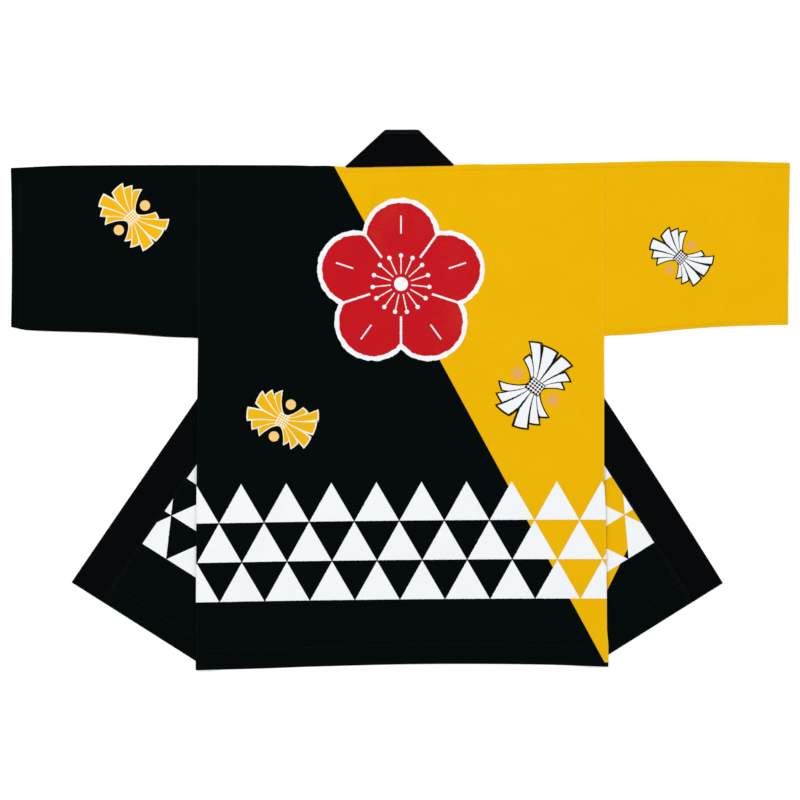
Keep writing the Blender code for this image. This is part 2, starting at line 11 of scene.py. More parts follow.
import logging
import math
from dataclasses import dataclass, field
from enum import Enum
from typing import NamedTuple, Sequence

import bmesh
import bpy
import numpy as np
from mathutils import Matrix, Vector
from mathutils.geometry import delaunay_2d_cdt

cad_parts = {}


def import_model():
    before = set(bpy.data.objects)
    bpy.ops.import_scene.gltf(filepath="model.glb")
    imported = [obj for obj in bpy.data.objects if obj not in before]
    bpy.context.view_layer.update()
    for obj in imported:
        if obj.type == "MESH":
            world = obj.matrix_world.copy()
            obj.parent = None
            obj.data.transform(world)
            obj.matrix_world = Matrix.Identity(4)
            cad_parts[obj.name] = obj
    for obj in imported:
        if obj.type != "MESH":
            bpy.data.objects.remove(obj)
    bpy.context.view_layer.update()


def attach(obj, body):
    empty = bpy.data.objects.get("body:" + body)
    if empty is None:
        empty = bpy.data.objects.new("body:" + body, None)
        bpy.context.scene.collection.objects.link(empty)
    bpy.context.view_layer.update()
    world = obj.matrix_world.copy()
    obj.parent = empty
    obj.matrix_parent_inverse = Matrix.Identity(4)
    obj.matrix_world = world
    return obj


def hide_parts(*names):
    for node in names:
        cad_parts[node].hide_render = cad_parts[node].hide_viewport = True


LOG = logging.getLogger("happi_coat")

# Walls of the solids, and their gaps at seams and between layers
CLOTH = 0.001
BAND = 0.002
GAP = 0.0003
LAYER_GAP = 0.0008

# Shells overlap by a hair at a seam, so that no floor shows in it, and a front's side lies
# a little inside the back's
SEAM_GAP = -0.00008
SIDE_INSET = 0.0004

# Turned hems: how far they stand up, how deep they are, how wide their step is, and how far
# inside it the stitches run
HEM_RAISE = 0.0004
HEM_DEPTH = 0.032
HEM_STEP = 0.003
CUFF_DEPTH = 0.014
CUFF_DEPTH_RIGHT = 0.0085
THREAD_INSET = 0.001
THREAD_STEP = 0.004

# Lines pressed in below the shoulders and above the sleeves' lower edges
PRESS_DEPTH = 0.0082
PRESS_DEPTH_LOW = 0.0060

# Shell thickness: the cloth is a little thinner than its solid
CLOTH_SHELL = 0.0009
BAND_SHELL = 0.0019
EDGE_ROUND = 0.00028

# Body and sleeves
SHOULDER_Y = 0.3754
NECK_LEFT = (-0.0894, 0.3722)
NECK_RIGHT = (0.0861, 0.3757)
LEFT_CUFF_X = -0.6230
RIGHT_CUFF_X = 0.6215

# Collar band
BAND_WIDTH = 0.059
COLLAR_TOP_Y = 0.4320
COLLAR_TOP_LEFT = -0.0246
COLLAR_TOP_RIGHT = 0.0294
COLLAR_LIP = 0.0098
NECK_SEAM = 0.0082

# Folds
SHOULDER_ARC = 0.0028
FOLD_HALF_ARC = 0.0010
PLATEAU = 0.004
SLOPE = 0.034
NECK_SLOPE = 0.080
MITRE_RADIUS = 0.0014
SEAM_LIFT_WIDTH = 0.012
FOLD_OVERRUN = 0.03
FLAP_HEM_START = 0.02

# Mesh: spacing of points, steps round a turn, and the angle from which an edge is sharp
COARSE = 0.027
FINE = 0.006
ROLL_STEPS = 6
SHARP_ANGLE = math.radians(50)

# How near loose points may come to the border and to a cut, as shares of the spacing
BORDER_CLEAR = 0.45
CUT_CLEAR = 0.35
CUT_END_CLEAR = 0.25

# Lengths that count as nothing, and one that counts as far away
WELD = 1e-7
TOUCHING = 1e-9
TINY = 1e-12
FAR = 1.0

# The collar seam is read between these shares of the free edge, past the shoulder at its top
SEAM_START = 0.97
SEAM_END = -0.10

# A crease is a half wave with this share left out at each end
CREASE_START = 0.08

# Photograph's frame: the width that its pixels cover, and its middle
VIEW_WIDTH = 1.28
VIEW_PIXELS = 800
VIEW_CENTRE = (-0.00064, -0.00016)
CAMERA_HEIGHT = 6.0
SENSOR = 36.0


class Station(NamedTuple):
    """A point of an edge that is smooth between its points."""

    x: float
    y: float


def edge_through(*places: tuple[float, float]) -> tuple[Station, ...]:
    """The points of an edge, from their places."""
    return tuple(Station(*place) for place in places)


SHOULDER_LINE = edge_through(
    (-0.6232, 0.3711),
    (-0.5290, 0.3750),
    (-0.1770, 0.3754),
    (-0.0894, 0.3728),
    (0.0861, 0.3757),
    (0.2870, 0.3792),
    (0.4670, 0.3826),
    (0.6230, 0.3795),
)
BACK_HEM = edge_through(
    (-0.3274, -0.4325),
    (-0.2155, -0.4296),
    (-0.1446, -0.4269),
    (0.0314, -0.4227),
    (0.2198, -0.4234),
    (0.3325, -0.4269),
)
BODY_LEFT_EDGE = edge_through(
    (-0.3274, -0.4325),
    (-0.3262, -0.1660),
    (-0.3238, 0.0989),
    (-0.3238, 0.3800),
)
BODY_RIGHT_EDGE = edge_through(
    (0.3325, -0.4269),
    (0.3326, -0.3920),
    (0.3303, -0.3680),
    (0.3300, -0.3090),
    (0.3284, -0.1750),
    (0.3258, -0.1300),
    (0.3258, 0.3800),
)
LEFT_UNDERARM = edge_through(
    (-0.6232, 0.1166),
    (-0.5958, 0.1112),
    (-0.4614, 0.1066),
    (-0.3718, 0.1005),
    (-0.3238, 0.0989),
)
RIGHT_UNDERARM = edge_through(
    (0.3258, 0.1022),
    (0.3834, 0.1056),
    (0.4618, 0.1134),
    (0.5338, 0.1178),
    (0.6230, 0.1200),
)


class Crease(NamedTuple):
    """A soft ridge in the laid coat, from start to end."""

    start: tuple[float, float]
    end: tuple[float, float]
    width: float
    height: float
    bend: float


CREASES = (
    Crease((-0.312, 0.086), (-0.205, -0.035), 0.015, 0.00060, 0.010),
    Crease((-0.300, 0.135), (-0.170, 0.075), 0.012, 0.00035, -0.006),
    Crease((0.314, 0.092), (0.196, -0.020), 0.014, 0.00055, -0.012),
    Crease((0.304, 0.140), (0.215, 0.105), 0.011, 0.00035, 0.005),
    Crease((-0.112, 0.325), (-0.146, -0.030), 0.024, 0.00050, 0.012),
    Crease((0.118, 0.300), (0.150, 0.040), 0.021, 0.00040, -0.009),
    Crease((-0.252, -0.170), (-0.222, -0.418), 0.018, 0.00060, 0.006),
    Crease((-0.068, -0.225), (-0.082, -0.414), 0.016, 0.00045, -0.004),
    Crease((0.072, -0.150), (0.048, -0.412), 0.022, 0.00055, 0.010),
    Crease((0.236, -0.240), (0.262, -0.414), 0.015, 0.00050, -0.005),
    Crease((-0.352, 0.338), (-0.470, 0.168), 0.017, 0.00070, 0.014),
    Crease((-0.500, 0.346), (-0.588, 0.214), 0.014, 0.00050, -0.008),
    Crease((-0.350, 0.150), (-0.432, 0.128), 0.010, 0.00045, 0.004),
    Crease((0.364, 0.330), (0.486, 0.172), 0.016, 0.00060, -0.013),
    Crease((0.548, 0.350), (0.576, 0.180), 0.015, 0.00050, 0.009),
    Crease((0.346, 0.148), (0.448, 0.140), 0.011, 0.00045, -0.004),
    Crease((-0.352, -0.100), (-0.432, -0.262), 0.015, 0.00055, 0.006),
    Crease((0.350, -0.110), (0.436, -0.270), 0.014, 0.00050, -0.007),
)


class Swell(NamedTuple):
    """A long low wave of the whole coat."""

    length_x: float
    length_y: float
    phase: float
    height: float


SWELLS = (
    Swell(0.310, 0.520, 0.4, 0.00016),
    Swell(0.190, -0.270, 1.9, 0.00012),
    Swell(0.480, 0.130, 3.1, 0.00010),
)


def smooth(share: np.ndarray) -> np.ndarray:
    """Smooth step from 0 to 1."""
    held = np.clip(share, 0.0, 1.0)
    return held * held * (3 - 2 * held)


def unit(way: np.ndarray) -> np.ndarray:
    """The direction of a vector, or of each row of vectors."""
    return way / np.linalg.norm(way, axis=-1, keepdims=True)


def normal(way: np.ndarray, axis: int, sign: float) -> np.ndarray:
    """The direction square to a way, on the side where its part along the axis has the sign."""
    square = unit(np.array([-way[1], way[0]]))
    return square if square[axis] * sign >= 0 else -square


def flat_point(pair: Sequence[float]) -> np.ndarray:
    """A pair of numbers as a point of the plane."""
    return np.array(pair[:2], dtype=float)


def along(stations: Sequence[Station], x: np.ndarray) -> np.ndarray:
    """The y of a smooth line through stations that are sorted by x.

    Args:
        stations: the line's points.
        x: where the line is read.

    Returns:
        One y for each x.
    """
    xs = np.array([s.x for s in stations])
    ys = np.array([s.y for s in stations])
    last = len(xs) - 1
    after = np.minimum(np.arange(last + 1) + 1, last)
    before = np.maximum(np.arange(last + 1) - 1, 0)
    slopes = (ys[after] - ys[before]) / (xs[after] - xs[before])
    i = np.clip(np.searchsorted(xs, x, side="right") - 1, 0, last - 1)
    span = xs[i + 1] - xs[i]
    u = np.clip((x - xs[i]) / span, 0.0, 1.0)
    u2, u3 = u * u, u * u * u
    ends = (2 * u3 - 3 * u2 + 1) * ys[i] + (3 * u2 - 2 * u3) * ys[i + 1]
    turns = (u3 - 2 * u2 + u) * slopes[i] + (u3 - u2) * slopes[i + 1]
    return ends + turns * span


def edge_x(stations: Sequence[Station], y: np.ndarray) -> np.ndarray:
    """The x of a side edge whose stations are sorted by y."""
    return np.interp(y, [s.y for s in stations], [s.x for s in stations])


def from_press(points: np.ndarray, underarm: Sequence[Station] = ()) -> np.ndarray:
    """How far points of the laid coat are from a line that is pressed in along an edge."""
    top = along(SHOULDER_LINE, points[:, 0]) - PRESS_DEPTH - points[:, 1]
    if not underarm:
        return top
    low = points[:, 1] - along(underarm, points[:, 0]) - PRESS_DEPTH_LOW
    return np.where(np.abs(low) < np.abs(top), low, top)


def shoulder_tangent(x: np.ndarray) -> np.ndarray:
    """Where the back starts to turn over the shoulder."""
    return along(SHOULDER_LINE, x) - (CLOTH + LAYER_GAP) / 2 - CLOTH / 2


def polyline(start: np.ndarray, end: np.ndarray, spacing: float) -> np.ndarray:
    """Points from start up to, but without, end."""
    count = max(1, round(float(np.linalg.norm(end - start)) / spacing))
    shares = np.arange(count) / count
    return start + np.multiply.outer(shares, end - start)


def inside(polygon: np.ndarray, points: np.ndarray) -> np.ndarray:
    """Whether each point lies in the polygon."""
    odd = np.zeros(len(points), dtype=bool)
    x, y = points[:, 0], points[:, 1]
    for a, b in zip(polygon, np.roll(polygon, -1, axis=0)):
        if a[1] == b[1]:
            continue
        spans = (a[1] > y) != (b[1] > y)
        odd ^= spans & (x < a[0] + (y - a[1]) * (b[0] - a[0]) / (b[1] - a[1]))
    return odd


def line_distance(a: np.ndarray, b: np.ndarray, points: np.ndarray) -> np.ndarray:
    """How far each point is from the straight line between a and b."""
    side = b - a
    share = np.clip((points - a) @ side / max(float(side @ side), TINY), 0.0, 1.0)
    return np.linalg.norm(points - a - np.multiply.outer(share, side), axis=1)


def border_distance(polygon: np.ndarray, points: np.ndarray) -> np.ndarray:
    """How far each point is from the polygon's border."""
    nearest = np.full(len(points), np.inf)
    for a, b in zip(polygon, np.roll(polygon, -1, axis=0)):
        nearest = np.minimum(nearest, line_distance(a, b, points))
    return nearest


def cover(polygon: np.ndarray, points: np.ndarray, slope: float = SLOPE) -> np.ndarray:
    """1 over the polygon and a little past it, falling smoothly to 0."""
    away = np.where(inside(polygon, points), 0.0, border_distance(polygon, points))
    return 1.0 - smooth((away - PLATEAU) / slope)


def half(polygon: np.ndarray, origin: np.ndarray, normal: np.ndarray) -> np.ndarray:
    """The part of the polygon on the side of the line that normal points to."""
    kept = []
    for a, b in zip(polygon, np.roll(polygon, -1, axis=0)):
        da, db = float((a - origin) @ normal), float((b - origin) @ normal)
        if da >= 0:
            kept.append(a)
        if (da < 0) != (db < 0):
            kept.append(a + (b - a) * da / (da - db))
    return np.array(kept)


def polygon_area(polygon: np.ndarray) -> float:
    """The area inside a closed outline."""
    ahead = np.roll(polygon, -1, axis=0)
    return abs(float(np.sum(polygon[:, 0] * ahead[:, 1] - ahead[:, 0] * polygon[:, 1]))) / 2


def relief(points: np.ndarray) -> np.ndarray:
    """How far creases and long waves lift the cloth off its flat lie.

    Args:
        points: places on the laid coat.

    Returns:
        One height for each point, never below 0.
    """
    lift = np.zeros(len(points))
    for wave in SWELLS:
        turn = points[:, 0] / wave.length_x + points[:, 1] / wave.length_y
        lift += wave.height * (1 + np.sin(2 * math.pi * turn + wave.phase))
    for crease in CREASES:
        start, end = flat_point(crease.start), flat_point(crease.end)
        run = end - start
        share = np.clip((points - start) @ run / float(run @ run), 0.0, 1.0)
        side = np.array([-run[1], run[0]]) / np.linalg.norm(run)
        line = start + np.multiply.outer(share, run)
        line += np.multiply.outer(crease.bend * np.sin(math.pi * share), side)
        away = np.linalg.norm(points - line, axis=1)
        taper = np.sin(math.pi * (CREASE_START + (1 - 2 * CREASE_START) * share))
        lift += crease.height * taper * np.exp(-((away / crease.width) ** 2))
    return lift


@dataclass
class Laid:
    """Where the points of a cut lie: the middle of the wall and the way its face points."""

    middle: np.ndarray
    way: np.ndarray


def turned(
    base: np.ndarray, out: np.ndarray, upper: np.ndarray, lower: np.ndarray, share: np.ndarray
) -> Laid:
    """Points share of the way round an edge that turns down.

    Args:
        base: where the turn starts on the laid coat, a row a point.
        out: the way the turned edge points, flat.
        upper: height of the wall before the turn.
        lower: height of the wall after it.
        share: how far round each point is.

    Returns:
        The places of the points.
    """
    angle = (share - 0.5) * math.pi
    way = np.column_stack([np.multiply.outer(np.cos(angle), out), -np.sin(angle)])
    centre = np.column_stack([base, (upper + lower) / 2])
    return Laid(centre + way * ((upper - lower) / 2)[:, None], way)


class Front(NamedTuple):
    """The sizes of one front and its collar band."""

    name: str
    outward: float
    fold_top: tuple[float, float]
    fold_hem: tuple[float, float]
    corner: tuple[float, float]
    edge_bow: float
    body_edge: tuple[Station, ...]
    neck_corner: tuple[float, float]


LEFT_FRONT = Front(
    name="left",
    outward=-1.0,
    fold_top=(COLLAR_TOP_LEFT, COLLAR_TOP_Y),
    fold_hem=(-0.3117, -0.4278),
    corner=(-0.5262, -0.2918),
    edge_bow=0.0022,
    body_edge=BODY_LEFT_EDGE,
    neck_corner=NECK_LEFT,
)
RIGHT_FRONT = Front(
    name="right",
    outward=1.0,
    fold_top=(COLLAR_TOP_RIGHT, COLLAR_TOP_Y),
    fold_hem=(0.3040, -0.4258),
    corner=(0.5160, -0.2930),
    edge_bow=0.0078,
    body_edge=BODY_RIGHT_EDGE,
    neck_corner=NECK_RIGHT,
)


class FrontSide:
    """One front with its collar band: its cut, its fold and the areas its layers cover."""

    def __init__(self, front: Front) -> None:
        """Works out the cut and the covered areas from the front's sizes."""
        self.front = front
        self.top, self.hem = flat_point(front.fold_top), flat_point(front.fold_hem)
        self.down = unit(self.hem - self.top)
        self.inward = normal(self.down, 0, -front.outward)
        self.edge_end = self.mirror(flat_point(front.corner))
        self.run_length = float(np.linalg.norm(self.edge_end - self.top))
        self.run = unit(self.edge_end - self.top)
        self.across = normal(self.run, 0, front.outward)
        self.hem_line = unit(self.hem - self.edge_end)
        self.up_hem = normal(self.hem_line, 1, 1.0)
        front_cut, band_cut = self.front_cut(COARSE), self.band_cut(COARSE)
        self.band_up = half(band_cut, self.top, -self.inward)
        self.front_up = half(front_cut, self.top, -self.inward)
        self.band_low = self.mirror(half(band_cut, self.top, self.inward))
        self.front_low = self.mirror(half(front_cut, self.top, self.inward))

    def mirror(self, points: np.ndarray) -> np.ndarray:
        """The place of points once they are folded over the fold line."""
        return points - 2 * np.multiply.outer(self.fold_offset(points), self.inward)

    def edge(self, share: np.ndarray, width: float) -> np.ndarray:
        """Points of the cut, width in from the collar's free edge, share of the way down."""
        share = np.asarray(share, dtype=float)
        down = np.multiply.outer(share * self.run_length, self.run)
        return self.top + down + np.multiply.outer(width - self.bow(share), self.across)

    def bow(self, share: np.ndarray) -> np.ndarray:
        """How far the free edge stands out from a straight line, share of the way down."""
        return 4 * self.front.edge_bow * np.maximum(share, 0.0) * (1 - share)

    def hem_point(self, width: float) -> np.ndarray:
        """Where the line that is width in from the free edge meets the hem."""
        return self.edge_end + self.hem_line * (width / abs(float(self.across @ self.hem_line)))

    def seam(self, spacing: float) -> np.ndarray:
        """The collar seam's points from the hem up to the shoulder."""
        width = BAND_WIDTH + SEAM_GAP
        shares = np.arange(SEAM_START, SEAM_END, -spacing / self.run_length)
        points = self.edge(shares, width)
        tops = shoulder_tangent(points[:, 0]) - GAP
        k = int(np.argmax(points[:, 1] > tops))
        below, above = points[k - 1], points[k]
        crossing = below + (above - below) * (tops[k] - below[1]) / (above[1] - below[1])
        return np.vstack([self.hem_point(width), points[:k], crossing])

    def front_cut(self, spacing: float) -> np.ndarray:
        """The front panel's outline, from the collar seam at the hem round by the shoulder."""
        seam = self.seam(spacing)
        inset = self.front.outward * SIDE_INSET
        side_hem_x = float(edge_x(self.front.body_edge, self.hem[1])) - inset
        slope = self.hem_line[1] / self.hem_line[0]
        side_hem = np.array([side_hem_x, self.hem[1] + slope * (side_hem_x - self.hem[0])])
        side_top_x = float(edge_x(self.front.body_edge, SHOULDER_Y)) - inset
        side_top = np.array([side_top_x, float(shoulder_tangent(side_top_x)) - GAP])
        shoulder = polyline(seam[-1], side_top, spacing)
        shoulder[1:, 1] = shoulder_tangent(shoulder[1:, 0]) - GAP
        side = polyline(side_top, side_hem, spacing)
        side[1:, 0] = edge_x(self.front.body_edge, side[1:, 1]) - inset
        return np.vstack([seam[:-1], shoulder, side, polyline(side_hem, seam[0], spacing)])

    def band_cut(self, spacing: float) -> np.ndarray:
        """The collar band's outline, from its free edge at the hem up to the mitre and back."""
        mitre_normal = normal(flat_point(self.front.neck_corner) - self.top, 1, -1.0)
        mitre_origin = self.top + mitre_normal * (MITRE_RADIUS + BAND / 2 + GAP)
        rows = round(self.run_length / spacing)
        shares = np.arange(1, rows) / rows
        free = np.vstack([self.edge_end, self.edge(1 - shares, 0.0)])
        free = np.vstack([free, self.edge(0.0, 0.0) - self.run * BAND_WIDTH])
        seam_top = self.edge(-BAND_WIDTH / self.run_length, BAND_WIDTH)
        seam = np.vstack([seam_top, self.edge(shares, BAND_WIDTH), self.hem_point(BAND_WIDTH)])
        return half(np.vstack([free, seam]), mitre_origin, mitre_normal)

    def fold_offset(self, points: np.ndarray) -> np.ndarray:
        """How far points of the cut lie past the fold line."""
        return (points - self.top) @ self.inward

    def hem_height(self, points: np.ndarray) -> np.ndarray:
        """How far points of the cut lie above the hem."""
        return (points - self.hem) @ self.up_hem

    def layer_height(self, points: np.ndarray) -> np.ndarray:
        """Middle of the upper layer's wall at places on the laid coat."""
        band_low, band_up = cover(self.band_low, points), cover(self.band_up, points)
        band = np.maximum(band_low, band_up)
        flap = np.maximum(cover(self.front_low, points), band)
        raised = (CLOTH + LAYER_GAP) * flap + (BAND - CLOTH) * (band + band_up / 2)
        return CLOTH / 2 + raised

    def back_height(self, points: np.ndarray) -> np.ndarray:
        """Middle of the back's wall over this front."""
        neck = cover(self.band_up, points)
        front = np.maximum(cover(self.front_up, points), neck)
        raised = (CLOTH + LAYER_GAP) * front + (BAND - CLOTH) / 2 * neck
        return self.layer_height(points) + raised

    def lower_height(self, points: np.ndarray) -> np.ndarray:
        """Middle of the folded layer's wall: on the floor, lifted to the band's at its seam."""
        away = border_distance(self.band_low, points)
        away[inside(self.band_low, points)] = 0.0
        return CLOTH / 2 + (BAND - CLOTH) / 2 * (1 - smooth(away / SEAM_LIFT_WIDTH))

    def place(self, points: np.ndarray) -> Laid:
        """Where the points of this side's cut lie once it is folded."""
        offset = self.fold_offset(points)
        past = np.clip(offset, -FOLD_HALF_ARC, FOLD_HALF_ARC) + FOLD_HALF_ARC
        base = points - np.multiply.outer(offset + FOLD_HALF_ARC, self.inward)
        base = np.where((offset <= -FOLD_HALF_ARC)[:, None], points, base)
        over = self.mirror(points)
        beyond = offset >= FOLD_HALF_ARC
        upper = self.layer_height(base)
        lower = self.lower_height(np.where(beyond[:, None], over, base))
        laid = turned(base, self.inward, upper, lower, past / (2 * FOLD_HALF_ARC))
        above = offset <= -FOLD_HALF_ARC
        laid.middle[above] = np.column_stack([points, upper])[above]
        laid.way[above] = (0.0, 0.0, 1.0)
        laid.middle[beyond] = np.column_stack([over, lower])[beyond]
        laid.way[beyond] = (0.0, 0.0, -1.0)
        return laid

    def fold_lines(self) -> list[np.ndarray]:
        """The cut's lines along the turn of the fold, each a pair of ends."""
        overrun = self.down * FOLD_OVERRUN
        ends = np.array([self.top - overrun, self.hem + overrun])
        shares = np.arange(ROLL_STEPS + 1) / ROLL_STEPS
        return [ends + self.inward * (FOLD_HALF_ARC * (2 * share - 1)) for share in shares]


@dataclass
class Fill:
    """A filled outline: its points and its triangles."""

    points: np.ndarray
    triangles: np.ndarray


def filled(outline: np.ndarray, spacing: float, cuts: Sequence[np.ndarray] = ()) -> Fill:
    """Triangulates an outline, with even rows of points in it.

    Args:
        outline: the border, in order.
        spacing: how far the points of the rows are apart.
        cuts: lines that run right through the outline, each a pair of ends.

    Returns:
        The filled outline.
    """
    count = len(outline)
    blocks = [outline]
    edges = [(i, (i + 1) % count) for i in range(count)]
    total = count
    for a, b in cuts:
        shares = np.linspace(0.0, 1.0, round(float(np.linalg.norm(b - a)) / spacing) + 1)
        line = a + np.multiply.outer(shares, b - a)
        near = border_distance(outline, line) <= CUT_END_CLEAR * spacing
        near[[0, -1]] = False
        line = line[~near]
        blocks.append(line)
        edges += [(total + i, total + i + 1) for i in range(len(line) - 1)]
        total += len(line)
    low, high = outline.min(axis=0), outline.max(axis=0)
    row_height = spacing * math.sqrt(3) / 2
    rows = []
    for row in range(1, math.ceil((high[1] - low[1]) / row_height)):
        shift = spacing / 2 if row % 2 else 0.0
        xs = np.arange(low[0] + shift, high[0], spacing)
        rows.append(np.column_stack([xs, np.full(len(xs), low[1] + row * row_height)]))
    loose = np.vstack(rows)
    loose = loose[inside(outline, loose)]
    loose = loose[border_distance(outline, loose) > BORDER_CLEAR * spacing]
    for a, b in cuts:
        loose = loose[line_distance(a, b, loose) > CUT_CLEAR * spacing]
    points = [Vector(p) for p in np.vstack([*blocks, loose]).tolist()]
    found, _, faces, _, _, _ = delaunay_2d_cdt(points, edges, [list(range(count))], 1, WELD)
    triangles = np.array([list(face) for face in faces])
    used = np.unique(triangles)
    place = np.zeros(len(found), dtype=int)
    place[used] = np.arange(len(used))
    flat = np.array([tuple(p) for p in found])[used]
    triangles = place[triangles]
    first = flat[triangles[:, 1]] - flat[triangles[:, 0]]
    second = flat[triangles[:, 2]] - flat[triangles[:, 0]]
    wrong = first[:, 0] * second[:, 1] - first[:, 1] * second[:, 0] < 0
    triangles[wrong] = triangles[wrong][:, ::-1]
    return Fill(flat, triangles)


class Side(Enum):
    """The two sides of printed cloth."""

    RIGHT = 0
    WRONG = 1


@dataclass
class Shell:
    """A closed shell of cloth round the middle of its wall.

    Outer and inner are half its thickness on the face that the way points to and on the other,
    and facing is the side of the cloth on the first. Stitch and press are how far each point is
    from the stitched line and from the pressed line.
    """

    name: str
    fill: Fill
    laid: Laid
    outer: np.ndarray
    inner: np.ndarray
    facing: Side
    stitch: np.ndarray
    press: np.ndarray | float = FAR

    def border(self) -> np.ndarray:
        """The directed edges that only one triangle has."""
        t = self.fill.triangles
        pairs = np.vstack([t[:, [0, 1]], t[:, [1, 2]], t[:, [2, 0]]])
        known = set(map(tuple, pairs.tolist()))
        return np.array([p for p in pairs.tolist() if (p[1], p[0]) not in known])

    def build(self) -> bpy.types.Object:
        """Makes the shell, with rounded edges, its UV map and its attributes."""
        middle, way = self.laid.middle.copy(), self.laid.way
        middle[:, 2] += relief(middle[:, :2])
        count = len(middle)
        border = self.border()
        out = np.zeros_like(middle)
        for a, b in ((0, 1), (1, 0)):
            step = middle[border[:, 1]] - middle[border[:, 0]]
            side = unit(np.cross(step, way[border[:, a]]))
            np.add.at(out, border[:, a], side)
        rim = np.unique(border)
        out[rim] = unit(out[rim])
        outer = middle + way * self.outer[:, None] - out * EDGE_ROUND
        inner = middle - way * self.inner[:, None] - out * EDGE_ROUND
        rim_middle = middle + way * ((self.outer - self.inner) / 2)[:, None]
        rim_place = np.zeros(count, dtype=int)
        rim_place[rim] = 2 * count + np.arange(len(rim))
        t = self.fill.triangles
        a, b = border[:, 0], border[:, 1]
        top_rim = np.column_stack([b, a, rim_place[a], rim_place[b]])
        low_rim = np.column_stack([rim_place[b], rim_place[a], a + count, b + count])
        faces = [*t.tolist(), *(t[:, ::-1] + count).tolist(), *top_rim.tolist(), *low_rim.tolist()]
        vertices = np.vstack([outer, inner, rim_middle[rim]])
        source = np.concatenate([np.arange(count), np.arange(count), rim])
        mesh = bpy.data.meshes.new(self.name)
        mesh.from_pydata(vertices.tolist(), [], faces)
        edge = np.zeros(count)
        edge[rim] = 1.0
        add_uv(mesh, self.fill.points[source])
        add_number(mesh, "edge", edge[source])
        add_number(mesh, "stitch", self.stitch[source])
        add_number(mesh, "press", np.broadcast_to(self.press, (count,))[source])
        sides = np.zeros(len(faces), dtype=int)
        first, second = (0, 1) if self.facing is Side.RIGHT else (1, 0)
        sides[: len(t)] = first
        sides[len(t) : 2 * len(t)] = second
        mesh.polygons.foreach_set("material_index", sides)
        return add_piece(self.name, mesh)


def add_uv(mesh: bpy.types.Mesh, places: np.ndarray) -> None:
    """Writes the cut's coordinates, in metres, as the mesh's UV map."""
    layer = mesh.uv_layers.new(name="cut")
    corners = np.zeros(len(mesh.loops), dtype=int)
    mesh.loops.foreach_get("vertex_index", corners)
    layer.data.foreach_set("uv", places[corners].ravel())


def add_number(mesh: bpy.types.Mesh, name: str, values: np.ndarray) -> None:
    """Writes one number for each point of the mesh under a name."""
    made = mesh.attributes.new(name, "FLOAT", "POINT")
    made.data.foreach_set("value", values.astype(np.float32))


def add_piece(name: str, mesh: bpy.types.Mesh) -> bpy.types.Object:
    """Links a mesh as a piece, its faces pointing out, smooth but for its edges."""
    solid = bmesh.new()
    solid.from_mesh(mesh)
    bmesh.ops.recalc_face_normals(solid, faces=solid.faces)
    solid.to_mesh(mesh)
    solid.free()
    mesh.shade_smooth()
    mesh.set_sharp_from_angle(angle=SHARP_ANGLE)
    piece = bpy.data.objects.new(name, mesh)
    bpy.context.scene.collection.objects.link(piece)
    return piece


# What the shader arithmetic takes
Number = "Field | float"


class Net:
    """The nodes of one finish."""

    def __init__(self, name: str) -> None:
        """Starts a material with a plain shader."""
        self.material = bpy.data.materials.new(name)
        self.material.use_nodes = True
        self.tree = self.material.node_tree
        self.shader = self.tree.nodes["Principled BSDF"]

    def feed(self, socket: bpy.types.NodeSocket, value: object) -> None:
        """Links a value to a socket, or sets it there."""
        if isinstance(value, Field):
            self.tree.links.new(value.socket, socket)
        elif isinstance(value, bpy.types.NodeSocket):
            self.tree.links.new(value, socket)
        else:
            socket.default_value = value

    def node(
        self, kind: str, settings: dict | None = None, inputs: dict | None = None
    ) -> bpy.types.Node:
        """Adds a node.

        Args:
            kind: the node's type.
            settings: its properties, and a ramp's stops under the name stops.
            inputs: values or links for its sockets, by name or place.

        Returns:
            The node.
        """
        made = self.tree.nodes.new(kind)
        for name, value in (settings or {}).items():
            if name == "stops":
                self.set_stops(made.color_ramp, value)
            elif name == "interpolation":
                made.color_ramp.interpolation = value
            else:
                setattr(made, name, value)
        for key, value in (inputs or {}).items():
            self.feed(made.inputs[key], value)
        return made

    @staticmethod
    def set_stops(ramp: bpy.types.ColorRamp, stops: Sequence[tuple]) -> None:
        """Gives a ramp its stops, each a place and a colour."""
        while len(ramp.elements) < len(stops):
            ramp.elements.new(1.0)
        for element, (position, colour) in zip(ramp.elements, stops):
            element.position = position
            element.color = (*colour, 1.0)

    def math(self, operation: str, *values: Number, clamp: bool = False) -> "Field":
        """A Math node on numbers and fields."""
        node = self.node("ShaderNodeMath", {"operation": operation, "use_clamp": clamp})
        for slot, value in enumerate(values):
            self.feed(node.inputs[slot], value)
        return Field(self, node.outputs[0])

    def mix(self, mask: Number, low: object, high: object) -> bpy.types.NodeSocket:
        """A colour between low, where the mask is 0, and high, where it is 1."""
        node = self.node("ShaderNodeMix", {"data_type": "RGBA"})
        self.feed(node.inputs[0], mask)
        for slot, value in ((6, low), (7, high)):
            self.feed(node.inputs[slot], (*value, 1.0) if isinstance(value, tuple) else value)
        return node.outputs[2]

    def cut(self) -> tuple["Field", "Field"]:
        """The cut's coordinates across and up."""
        uv = self.node("ShaderNodeUVMap", {"uv_map": "cut"})
        parts = self.node("ShaderNodeSeparateXYZ", inputs={0: uv.outputs[0]})
        return Field(self, parts.outputs[0]), Field(self, parts.outputs[1])

    def number(self, name: str) -> "Field":
        """A number that the mesh holds under a name."""
        node = self.node("ShaderNodeAttribute", {"attribute_name": name})
        return Field(self, node.outputs["Fac"])

    def noise(self, across: Number, up: Number, scale: float, detail: float) -> "Field":
        """Cloudy noise from 0 to 1 in the given coordinates."""
        place = self.node("ShaderNodeCombineXYZ", inputs={0: across, 1: up})
        settings = {"noise_dimensions": "2D"}
        values = {"Vector": place.outputs[0], "Scale": scale, "Detail": detail}
        node = self.node("ShaderNodeTexNoise", settings, values)
        return Field(self, node.outputs[0])


